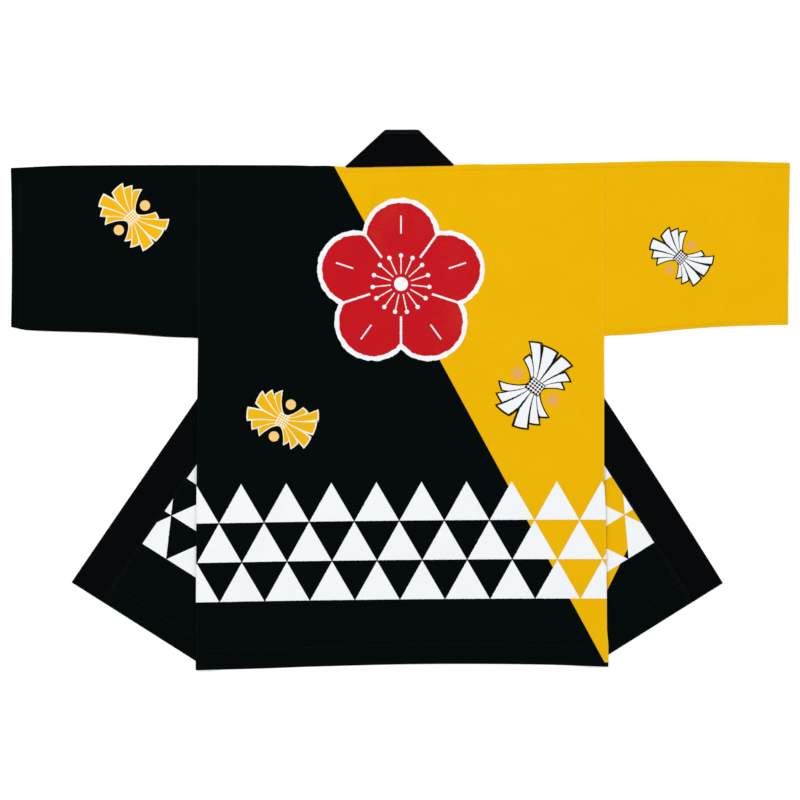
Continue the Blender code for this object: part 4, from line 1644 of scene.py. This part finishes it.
@dataclass
class FrontPanel:
    """A front, folded outwards under itself.

    The stitches of its hem keep clear of the collar's seam and of the fold.
    """

    side: FrontSide
    seam_clear: float = 0.003
    fold_clear: float = 0.030

    def build(self) -> Panel:
        """The front as a shell, with the stitches of its hem."""
        side = self.side
        name = f"front_{side.front.name}_cloth"
        outline = side.front_cut(FINE)
        fill = filled(outline, FINE, side.fold_lines())
        above = side.hem_height(fill.points)
        past = side.fold_offset(fill.points)
        raised = HEM_RAISE * (1 - smooth((above - HEM_DEPTH) / HEM_STEP))
        raised *= smooth((past - FLAP_HEM_START) / FLAP_HEM_START)
        wall = np.full(len(fill.points), CLOTH_SHELL / 2)
        shell = Shell(
            name=name,
            fill=fill,
            laid=side.place(fill.points),
            outer=wall,
            inner=wall + raised,
            facing=Side.WRONG,
            stitch=above - HEM_DEPTH,
        )
        piece = shell.build()
        turn = np.column_stack([side.hem_line, side.up_hem])
        line = self.hem_stitches()
        thread = Thread(f"stitches_{side.front.name}_hem", BLACK_THREAD, lines=[line])
        return Panel(
            piece=piece,
            node=f"front_{side.front.name}",
            slot="body_cotton",
            flat=box_size(outline @ turn),
            area=polygon_area(outline),
            held="folded",
            rests_on=[],
            threads=[thread.build()],
        )

    def hem_stitches(self) -> Laid:
        """The line of stitches that holds the hem up, on the flap."""
        side = self.side
        start = side.hem_point(BAND_WIDTH + GAP) + side.hem_line * self.seam_clear
        end = side.hem - side.hem_line * self.fold_clear
        points = polyline(start, end, THREAD_STEP) + side.up_hem * (HEM_DEPTH - THREAD_INSET)
        return surface_line(side.place(points), CLOTH_SHELL / 2 + HEM_RAISE, flip=True)


@dataclass
class CollarBand:
    """The collar band of a front, folded over with it.

    Its stitches run beside the seam, between two shares of the free edge's length.
    """

    side: FrontSide
    stitch_inset: float = 0.0026
    stitched: tuple[float, float] = (0.35, 0.985)
    line_points: int = 260

    def build(self) -> Panel:
        """The band as a shell, with the stitches beside its seam."""
        side = self.side
        name = f"collar_{side.front.name}_cloth"
        outline = side.band_cut(FINE)
        fill = filled(outline, FINE, side.fold_lines())
        wall = np.full(len(fill.points), BAND_SHELL / 2)
        inward = (fill.points - side.top) @ side.across
        share = (fill.points - side.top) @ side.run / side.run_length
        shell = Shell(
            name=name,
            fill=fill,
            laid=side.place(fill.points),
            outer=wall,
            inner=wall,
            facing=Side.RIGHT,
            stitch=inward + side.bow(share) - (BAND_WIDTH - self.stitch_inset),
        )
        piece = shell.build()
        line = self.seam_stitches()
        thread = Thread(f"stitches_{side.front.name}_collar", BLACK_THREAD, lines=[line])
        return Panel(
            piece=piece,
            node=f"collar_{side.front.name}",
            slot="collar_cotton",
            flat=(BAND_WIDTH, side.run_length),
            area=polygon_area(outline),
            held="folded",
            rests_on=[f"front_{side.front.name}_cloth"],
            threads=[thread.build()],
        )

    def seam_stitches(self) -> Laid:
        """The line of stitches along the seam, on the part that is folded over."""
        side = self.side
        width = BAND_WIDTH - self.stitch_inset
        points = side.edge(np.linspace(*self.stitched, self.line_points), width)
        return surface_line(side.place(points), BAND_SHELL / 2, flip=True)


@dataclass
class NeckBand:
    """The collar behind the neck, its mitred ends turned under.

    Height is the middle of its wall. Beside its even rows of points it has rows that are
    row_step apart at the step below its strip and at the groove of its seam.
    """

    sides: tuple[FrontSide, FrontSide]
    name: str = "collar_neck_cloth"
    columns: int = 48
    rows: int = 28
    height: float = CLOTH / 2 + 2 * (BAND + LAYER_GAP) + (BAND - CLOTH) / 2
    row_step: float = 0.0007
    lip_slope: float = 0.0006
    groove_depth: float = 0.00035
    groove_width: float = 0.0007

    def ends(self) -> list[tuple[np.ndarray, np.ndarray, np.ndarray]]:
        """The low and the high point of each end's turn, and the way it points."""
        inset = MITRE_RADIUS + BAND / 2
        made = []
        for side in self.sides:
            corner, top = flat_point(side.front.neck_corner), side.top
            line = unit(top - corner)
            out = normal(line, 1, 1.0)
            low = corner - out * inset
            base = float(shoulder_tangent(low[0])) + SEAM_GAP
            low = low + line * (base - low[1]) / line[1]
            high = top - out * inset
            high = high + line * (COLLAR_TOP_Y - high[1]) / line[1]
            made.append((low, high, out))
        return made

    def place(self, points: np.ndarray) -> Laid:
        """Where points lie: x is across, past 0 and 1 in the turned ends, and y is up.

        Args:
            points: places in the band, 0 to 1 each way.

        Returns:
            Where they lie. The turned ends slide down the mitre, level with the top.
        """
        (low_l, high_l, out_l), (low_r, high_r, out_r) = self.ends()
        x, y = points[:, 0], points[:, 1][:, None]
        left, right = low_l + y * (high_l - low_l), low_r + y * (high_r - low_r)
        flat = left + np.clip(x, 0.0, 1.0)[:, None] * (right - left)
        middle = np.column_stack([flat, np.full(len(flat), self.height)])
        laid = Laid(middle, np.tile((0.0, 0.0, 1.0), (len(flat), 1)))
        for side, out, mask, share in ((0, out_l, x < 0, -x), (1, out_r, x > 1, x - 1)):
            if not mask.any():
                continue
            base = flat[mask]
            lower = self.sides[side].layer_height(base)
            upper = np.full(len(base), self.height)
            end = turned(base, out, upper, lower, share[mask])
            low, high, _ = self.ends()[side]
            rise = end.middle[:, 1] + end.way[:, 1] * BAND / 2 - base[:, 1]
            down = (low - high) / (high[1] - low[1])
            end.middle[:, :2] += np.multiply.outer(rise * points[mask, 1], down)
            laid.middle[mask], laid.way[mask] = end.middle, end.way
        return laid

    def upright(self) -> float:
        """The band's height as it lies."""
        low, high, _ = self.ends()[0]
        return float(high[1] - low[1])

    def build(self) -> Panel:
        """The band as a shell: a strip along the top, a step down from the rest."""
        turn = np.arange(1, ROLL_STEPS + 1) / ROLL_STEPS
        across = np.concatenate([-turn[::-1], np.linspace(0, 1, self.columns), 1 + turn])
        strip = COLLAR_LIP / self.upright()
        step = self.row_step / self.upright()
        lines = [1 - strip - step, 1 - strip - step / 2, 1 - strip]
        seam = NECK_SEAM / self.upright()
        lines += [seam - step, seam, seam + step]
        even = apart(np.linspace(0, 1, self.rows), lines, 2 * step)
        up = np.array(sorted(even + lines))
        grid = np.array([(x, y) for y in up for x in across])
        size = len(across)
        a = (np.arange(len(up) - 1)[:, None] * size + np.arange(size - 1)[None, :]).ravel()
        lower_half = np.column_stack([a, a + 1, a + size + 1])
        upper_half = np.column_stack([a, a + size + 1, a + size])
        triangles = np.vstack([lower_half, upper_half])
        on_top = (grid[:, 0] >= 0) & (grid[:, 0] <= 1)
        left_over = (1 - grid[:, 1]) * self.upright()
        above = grid[:, 1] * self.upright()
        lip = HEM_RAISE * smooth((left_over - COLLAR_LIP) / self.lip_slope) * on_top
        groove = np.exp(-(((above - NECK_SEAM) / self.groove_width) ** 2))
        groove *= self.groove_depth * on_top
        wall = np.full(len(grid), BAND_SHELL / 2)
        laid = self.place(grid)
        fill = Fill(laid.middle[:, :2].copy(), triangles)
        shell = Shell(
            name=self.name,
            fill=fill,
            laid=laid,
            outer=wall + lip - groove,
            inner=wall,
            facing=Side.RIGHT,
            stitch=above - NECK_SEAM,
        )
        piece = shell.build()
        (low_l, high_l, _), (low_r, high_r, _) = self.ends()
        outline = np.array([low_l, low_r, high_r, high_l])
        return Panel(
            piece=piece,
            node="collar_neck",
            slot="collar_cotton",
            flat=box_size(outline),
            area=polygon_area(outline),
            held="folded",
            rests_on=["collar_left_cloth", "collar_right_cloth"],
        )


# Values for every point of every ring of a sleeve
Rings = Sequence[np.ndarray]


@dataclass
class SleeveTube:
    """A sleeve, pressed flat, open at the armhole and at the cuff.

    Armhole and cuff are places on X. The cuff's corners stand out by cuff_bow past its middle,
    and cuff_tilt turns it. Loft lifts the upper side, less by cuff_loft at the cuff. The even
    rings of points keep ring_clear from those at the hem, and the last is rim from the end.
    """

    name: str
    armhole: float
    cuff: float
    cuff_bow: float
    cuff_tilt: float
    underarm: tuple[Station, ...]
    thread: tuple[float, float, float]
    hem: float = CUFF_DEPTH
    loft: float = 0.0012
    cuff_loft: float = 0.15
    rings: int = 52
    points: int = 44
    ring_clear: float = 0.006
    rim: float = 0.0008

    @property
    def outward(self) -> float:
        """Which way the cuff points along X."""
        return math.copysign(1.0, self.cuff)

    def shares(self) -> np.ndarray:
        """How far from the armhole to the cuff each ring is, closer at the cuff's hem."""
        length = abs(self.cuff - self.armhole)
        insides = (self.hem + HEM_STEP, self.hem + HEM_STEP / 2, self.hem, self.rim)
        hem = [1 - inside / length for inside in insides]
        even = apart(np.linspace(0, 1, self.rings), hem, self.ring_clear)
        return np.array(sorted({*even, *hem, 1.0}))

    def section(self, share: float) -> tuple[Laid, np.ndarray, np.ndarray]:
        """One ring: where it lies, how much it is raised, and its cut coordinates."""
        armhole = self.armhole + self.outward * SEAM_GAP
        at_x = armhole + share * (self.cuff - armhole)
        low, high = CLOTH / 2, CLOTH / 2 + CLOTH + LAYER_GAP
        radius = (high - low) / 2
        top = float(along(SHOULDER_LINE, at_x)) - radius - CLOTH / 2
        bottom = float(along(self.underarm, at_x)) + radius + CLOTH / 2
        left_over = abs(self.cuff - armhole) * (1 - share)
        raised = HEM_RAISE * float(1 - smooth((left_over - self.hem) / HEM_STEP))
        loft = self.loft * math.sin(math.pi * min(share, 1 - share * self.cuff_loft)) ** 2
        across = np.linspace(0, 1, self.points + 1)
        ys = bottom + across * (top - bottom)
        up_face = np.tile((0.0, 0.0, 1.0), (len(ys), 1))
        lift = high + loft * np.sin(math.pi * across) ** 2
        upper = Laid(np.column_stack([np.full(len(ys), at_x), ys, lift]), up_face)
        turn = np.arange(1, ROLL_STEPS) / ROLL_STEPS
        count = len(turn)
        highs, lows = np.full(count, high), np.full(count, low)
        top_row, bottom_row = np.tile((at_x, top), (count, 1)), np.tile((at_x, bottom), (count, 1))
        over = turned(top_row, np.array([0.0, 1.0]), highs, lows, turn)
        under = turned(bottom_row, np.array([0.0, -1.0]), highs, lows, turn[::-1])
        floor_row = np.column_stack([np.full(len(ys), at_x), ys[::-1], np.full(len(ys), low)])
        lower = Laid(floor_row, -up_face)
        middle = np.vstack([upper.middle, over.middle, lower.middle, under.middle])
        way = np.vstack([upper.way, over.way, lower.way, under.way])
        arc = math.pi * radius
        cut_y = np.concatenate([ys, top + arc * turn, 2 * top + arc - ys[::-1]])
        cut_y = np.concatenate([cut_y, 2 * top + arc - bottom + arc * turn])
        height = (middle[:, 1] - (top + bottom) / 2) * 2 / (top - bottom)
        bow = self.cuff_bow * (1 - np.minimum(1.0, height * height))
        middle[:, 0] += self.outward * share * (self.cuff_tilt * height - bow)
        raises = np.zeros(len(middle))
        raises[: len(ys)] = raised
        cut = np.column_stack([np.full(len(cut_y), at_x), cut_y])
        return Laid(middle, way), raises, cut

    def build(self) -> Panel:
        """The sleeve as a shell between its outer and its inner face."""
        shares = self.shares()
        outer, inner, ends, cuts, stitches, presses = [], [], [], [], [], []
        armhole = self.armhole + self.outward * SEAM_GAP
        length = abs(self.cuff - armhole)
        for share in shares:
            laid, raised, cut = self.section(float(share))
            lift = relief(laid.middle[:, :2])
            shift = np.column_stack([np.zeros((len(lift), 2)), lift])
            at_end = share in (shares[0], shares[-1])
            edge = EDGE_ROUND if at_end else 0.0
            inset = np.array([self.outward * edge * (1 if share else -1), 0.0, 0.0])
            middle = laid.middle + shift - inset
            if at_end:
                ends.append(laid.middle + shift + laid.way * (raised / 2)[:, None])
            outer.append(middle + laid.way * (CLOTH_SHELL / 2 + raised)[:, None])
            inner.append(middle - laid.way * CLOTH_SHELL / 2)
            cuts.append(cut)
            presses.append(from_press(laid.middle, self.underarm))
            stitches.append(np.full(len(cut), length * (1 - share) - self.hem))
        mesh = self.mesh(outer, inner, ends, cuts, stitches, presses)
        piece = add_piece(f"sleeve_{self.name}_cloth", mesh)
        at_cuff = float(cuts[-1][:, 1].max() - cuts[-1][0, 1])
        at_armhole = float(cuts[0][:, 1].max() - cuts[0][0, 1])
        line = self.cuff_stitches()
        thread = Thread(f"stitches_{self.name}_cuff", self.thread, lines=[line])
        return Panel(
            piece=piece,
            node=f"sleeve_{self.name}",
            slot=f"sleeve_{self.name}_cotton",
            flat=(max(at_cuff, at_armhole), length),
            area=(at_cuff + at_armhole) / 2 * length,
            held="laid",
            rests_on=[],
            threads=[thread.build()],
        )

    def mesh(
        self, outer: Rings, inner: Rings, ends: Rings, cuts: Rings, stitches: Rings, presses: Rings
    ) -> bpy.types.Mesh:
        """The tube's mesh: two walls, and a rounded rim at each end."""
        size, count = len(outer[0]), len(outer)
        vertices = np.vstack([*outer, *inner, *ends])
        ring = np.arange(size)
        ahead = (ring + 1) % size
        quads, sides = [], []
        for i in range(count - 1):
            low, high = i * size, (i + 1) * size
            quads.append(np.column_stack([low + ring, low + ahead, high + ahead, high + ring]))
            sides.append(np.zeros(size, dtype=int))
            low, high = low + count * size, high + count * size
            quads.append(np.column_stack([high + ring, high + ahead, low + ahead, low + ring]))
            sides.append(np.ones(size, dtype=int))
        for end, row in ((0, 0), (1, count - 1)):
            rim = 2 * count * size + end * size
            for wall, flip in ((row * size, end == 1), ((count + row) * size, end == 0)):
                quad = np.column_stack([wall + ring, wall + ahead, rim + ahead, rim + ring])
                quads.append(quad if flip else quad[:, ::-1])
                sides.append(np.zeros(size, dtype=int))
        mesh = bpy.data.meshes.new(f"sleeve_{self.name}_cloth")
        mesh.from_pydata(vertices.tolist(), [], np.vstack(quads).tolist())
        cut = np.vstack([*cuts, *cuts, cuts[0], cuts[-1]])
        stitch = np.concatenate([*stitches, *stitches, stitches[0], stitches[-1]])
        press = np.concatenate([*presses, *presses, presses[0], presses[-1]])
        edge = np.zeros(len(vertices))
        edge[2 * count * size :] = 1.0
        for row in (count - 1, 2 * count - 1):
            edge[row * size : (row + 1) * size] = 1.0
        add_uv(mesh, cut)
        add_number(mesh, "edge", edge)
        add_number(mesh, "stitch", stitch)
        add_number(mesh, "press", press)
        mesh.polygons.foreach_set("material_index", np.concatenate(sides))
        return mesh

    def cuff_stitches(self) -> Laid:
        """The line of stitches round the cuff's hem, on the upper side."""
        length = abs(self.cuff - self.armhole) - SEAM_GAP
        laid, raised, _ = self.section(1 - (self.hem - THREAD_INSET) / length)
        upper = slice(1, self.points)
        lift = CLOTH_SHELL / 2 + raised[upper]
        return surface_line(Laid(laid.middle[upper], laid.way[upper]), lift)


def photo_point(x: float, y: float) -> tuple[float, float]:
    """The place on the laid coat of a pixel of the photograph."""
    scale, half_view = VIEW_WIDTH / VIEW_PIXELS, VIEW_PIXELS / 2
    across, up = (x - half_view) * scale, (half_view - y) * scale
    return across + VIEW_CENTRE[0], up + VIEW_CENTRE[1]


YELLOW_STRIPS = {"fill": RIBBON_YELLOW, "line": LINE_WHITE, "disc": DISC_ON_BLACK}
WHITE_STRIPS = {"fill": WHITE, "line": LINE_BLACK, "disc": DISC_ON_YELLOW}
LEFT_SLEEVE_BUNDLE = RibbonBundle(
    knot=photo_point(131.8, 217.9), angle=math.radians(-47), reach=0.0600, **YELLOW_STRIPS
)
LEFT_BACK_BUNDLE = RibbonBundle(
    knot=photo_point(282.5, 420.5), angle=math.radians(-28), reach=0.0600, **YELLOW_STRIPS
)
RIGHT_SLEEVE_BUNDLE = RibbonBundle(
    knot=photo_point(680.4, 257.4),
    angle=math.radians(-42),
    reach=0.0545,
    line_width=0.0024,
    **WHITE_STRIPS,
)
RIGHT_BACK_BUNDLE = RibbonBundle(
    knot=photo_point(535.0, 386.6),
    angle=math.radians(53),
    reach=0.0735,
    line_width=0.0030,
    **WHITE_STRIPS,
)
BACK_BLOSSOM = PlumBlossom(centre=photo_point(401, 284), radius=0.130, angle=math.radians(90))
BACK_SLOPE = Slope(
    start=photo_point(334.5, 167.0), end=photo_point(604.4, 662.0), low=photo_point(0, 662.2)[1]
)

# The lowest row of triangles on the back, and how the rows bow there and lean on the flaps
ROW_LEFT, ROW_RIGHT = photo_point(197.2, 601.8), photo_point(604.0, 598.3)
ROW_BOW = 0.0016
FLAP_LEAN_LEFT = -0.088
FLAP_LEAN_RIGHT = 0.058

# On the laid flaps: a corner of the lowest row of triangles, and two points of the slope
FLAP_CORNER_LEFT = photo_point(166.5, 558.8)
FLAP_CORNER_RIGHT = photo_point(628.2, 558.6)
FLAP_SLOPE_TOP = photo_point(629.5, 545.0)
FLAP_SLOPE_LOW = photo_point(607.7, 588.9)


def back_print() -> Print:
    """The print of the back."""
    tilt = math.atan2(ROW_RIGHT[1] - ROW_LEFT[1], ROW_RIGHT[0] - ROW_LEFT[0])
    start = (ROW_LEFT[0] + 0.5 * ScaleRows.base, ROW_LEFT[1])
    length = ROW_RIGHT[0] - ROW_LEFT[0]
    return BodyPrint(
        "back_print",
        slope=BACK_SLOPE,
        rows=ScaleRows(Frame2D(start, tilt), bow=ROW_BOW, length=length),
        ornaments=(LEFT_BACK_BUNDLE, RIGHT_BACK_BUNDLE, BACK_BLOSSOM),
    )


def front_print(side: FrontSide) -> Print:
    """The print of a front, read from its laid flap and turned back into the cut."""
    left = side.front.outward < 0
    corner = side.mirror(flat_point(FLAP_CORNER_LEFT if left else FLAP_CORNER_RIGHT))
    right_along = side.hem_line if side.hem_line[0] > 0 else -side.hem_line
    frame = Frame2D(tuple(corner), math.atan2(right_along[1], right_along[0]))
    rows = ScaleRows(frame, lean=FLAP_LEAN_LEFT if left else FLAP_LEAN_RIGHT)
    slope = None
    if not left:
        top = side.mirror(flat_point(FLAP_SLOPE_TOP))
        low = side.mirror(flat_point(FLAP_SLOPE_LOW))
        slope = Slope(tuple(top), tuple(low))
    return BodyPrint(f"front_{side.front.name}_print", slope=slope, rows=rows)


# Doubled cloth shows its right side on both faces
DOUBLED = (Side.RIGHT, Side.RIGHT)


def dress(panel: Panel, made: Print, sides: Sequence[Side] = tuple(Side)) -> None:
    """Gives a panel its print on each face, by the side of the cloth that shows there."""
    for side in sides:
        panel.piece.data.materials.append(made.finish(side))


@dataclass
class Studio:
    """A white floor, soft light from above and the camera of the photograph.

    The floor is a hair below the coat. The fill light is a share of the key light.
    """

    floor_size: float = 60.0
    floor_height: float = -0.0004
    sky: float = 0.86
    key_power: float = 41.0
    key_place: tuple[float, float, float] = (-1.6, 1.5, 2.6)
    key_size: float = 2.2
    fill_share: float = 0.35
    fill_place: tuple[float, float, float] = (2.2, -0.8, 2.4)
    fill_size: float = 2.6

    def build(self) -> None:
        """Makes floor, light and camera."""
        bpy.ops.object.select_all(action="DESELECT")
        place = (0.0, 0.0, self.floor_height)
        bpy.ops.mesh.primitive_plane_add(size=self.floor_size, location=place)
        floor = bpy.context.object
        floor.name = "floor"
        floor.data.materials.append(self.floor_finish())
        world = bpy.data.worlds.new("studio")
        world.use_nodes = True
        sky = world.node_tree.nodes["Background"]
        sky.inputs["Color"].default_value = (1.0, 1.0, 1.0, 1.0)
        sky.inputs["Strength"].default_value = self.sky
        bpy.context.scene.world = world
        self.light(self.key_place, self.key_size, self.key_power)
        self.light(self.fill_place, self.fill_size, self.key_power * self.fill_share)
        self.camera()
        bpy.context.scene.view_settings.view_transform = "Standard"

    @staticmethod
    def floor_finish() -> bpy.types.Material:
        """Matt white paper, very slightly cloudy."""
        net = Net("white_paper")
        place = net.node("ShaderNodeTexCoord")
        values = {"Vector": place.outputs["Object"], "Scale": 3.0, "Detail": 4.0}
        cloud = net.node("ShaderNodeTexNoise", inputs=values)
        colour = net.mix(Field(net, cloud.outputs[0]), (0.93, 0.93, 0.93), (0.96, 0.96, 0.96))
        net.feed(net.shader.inputs["Base Color"], colour)
        net.shader.inputs["Roughness"].default_value = 0.95
        net.shader.inputs["Specular IOR Level"].default_value = 0.1
        net.shader.inputs["Emission Color"].default_value = (1.0, 1.0, 1.0, 1.0)
        net.shader.inputs["Emission Strength"].default_value = 0.20
        return net.material

    @staticmethod
    def light(place: tuple[float, float, float], size: float, power: float) -> None:
        """One soft square light that shines on the middle of the coat."""
        bpy.ops.object.light_add(type="AREA", location=place)
        lamp = bpy.context.object
        lamp.data.energy = power
        lamp.data.size = size
        lamp.rotation_mode = "QUATERNION"
        lamp.rotation_quaternion = (-Vector(place)).to_track_quat("-Z", "Y")

    @staticmethod
    def camera() -> None:
        """The photograph's view, straight down from above."""
        bpy.ops.object.camera_add(location=(*VIEW_CENTRE, CAMERA_HEIGHT), rotation=(0, 0, 0))
        camera = bpy.context.object
        camera.data.sensor_width = SENSOR
        camera.data.lens = SENSOR * CAMERA_HEIGHT / VIEW_WIDTH
        bpy.context.scene.camera = camera


LEFT_SLEEVE = SleeveTube(
    name="left",
    armhole=BODY_LEFT_EDGE[-1].x,
    cuff=LEFT_CUFF_X,
    cuff_bow=0.0016,
    cuff_tilt=0.0002,
    underarm=LEFT_UNDERARM,
    thread=BLACK_THREAD,
)
RIGHT_SLEEVE = SleeveTube(
    name="right",
    armhole=BODY_RIGHT_EDGE[-1].x,
    cuff=RIGHT_CUFF_X,
    cuff_bow=0.0006,
    cuff_tilt=0.0015,
    underarm=RIGHT_UNDERARM,
    thread=YELLOW,
    hem=CUFF_DEPTH_RIGHT,
)


def main() -> None:
    """Builds and dresses every piece of the coat."""
    logging.basicConfig(level=logging.INFO, format="%(message)s")
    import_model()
    sides = (FrontSide(LEFT_FRONT), FrontSide(RIGHT_FRONT))
    panels = []
    back = Back(sides).build()
    dress(back, back_print())
    panels.append(back)
    black_band = PlainPrint("collar", COLLAR_BLACK, BLACK_WORN)
    for side in sides:
        front = FrontPanel(side).build()
        dress(front, front_print(side))
        band = CollarBand(side).build()
        dress(band, black_band, DOUBLED)
        panels += [front, band]
    neck = NeckBand(sides).build()
    dress(neck, NeckPrint("collar_neck"), DOUBLED)
    panels.append(neck)
    black = PlainPrint("sleeve_left", BLACK, BLACK_WORN, LEFT_SLEEVE_BUNDLE)
    yellow = PlainPrint("sleeve_right", YELLOW, YELLOW_WORN, RIGHT_SLEEVE_BUNDLE)
    for sleeve, made in ((LEFT_SLEEVE, black), (RIGHT_SLEEVE, yellow)):
        panel = sleeve.build()
        dress(panel, made)
        panels.append(panel)
    for panel in panels:
        panel.hand_over()
    Studio().build()


if __name__ == "__main__":
    main()
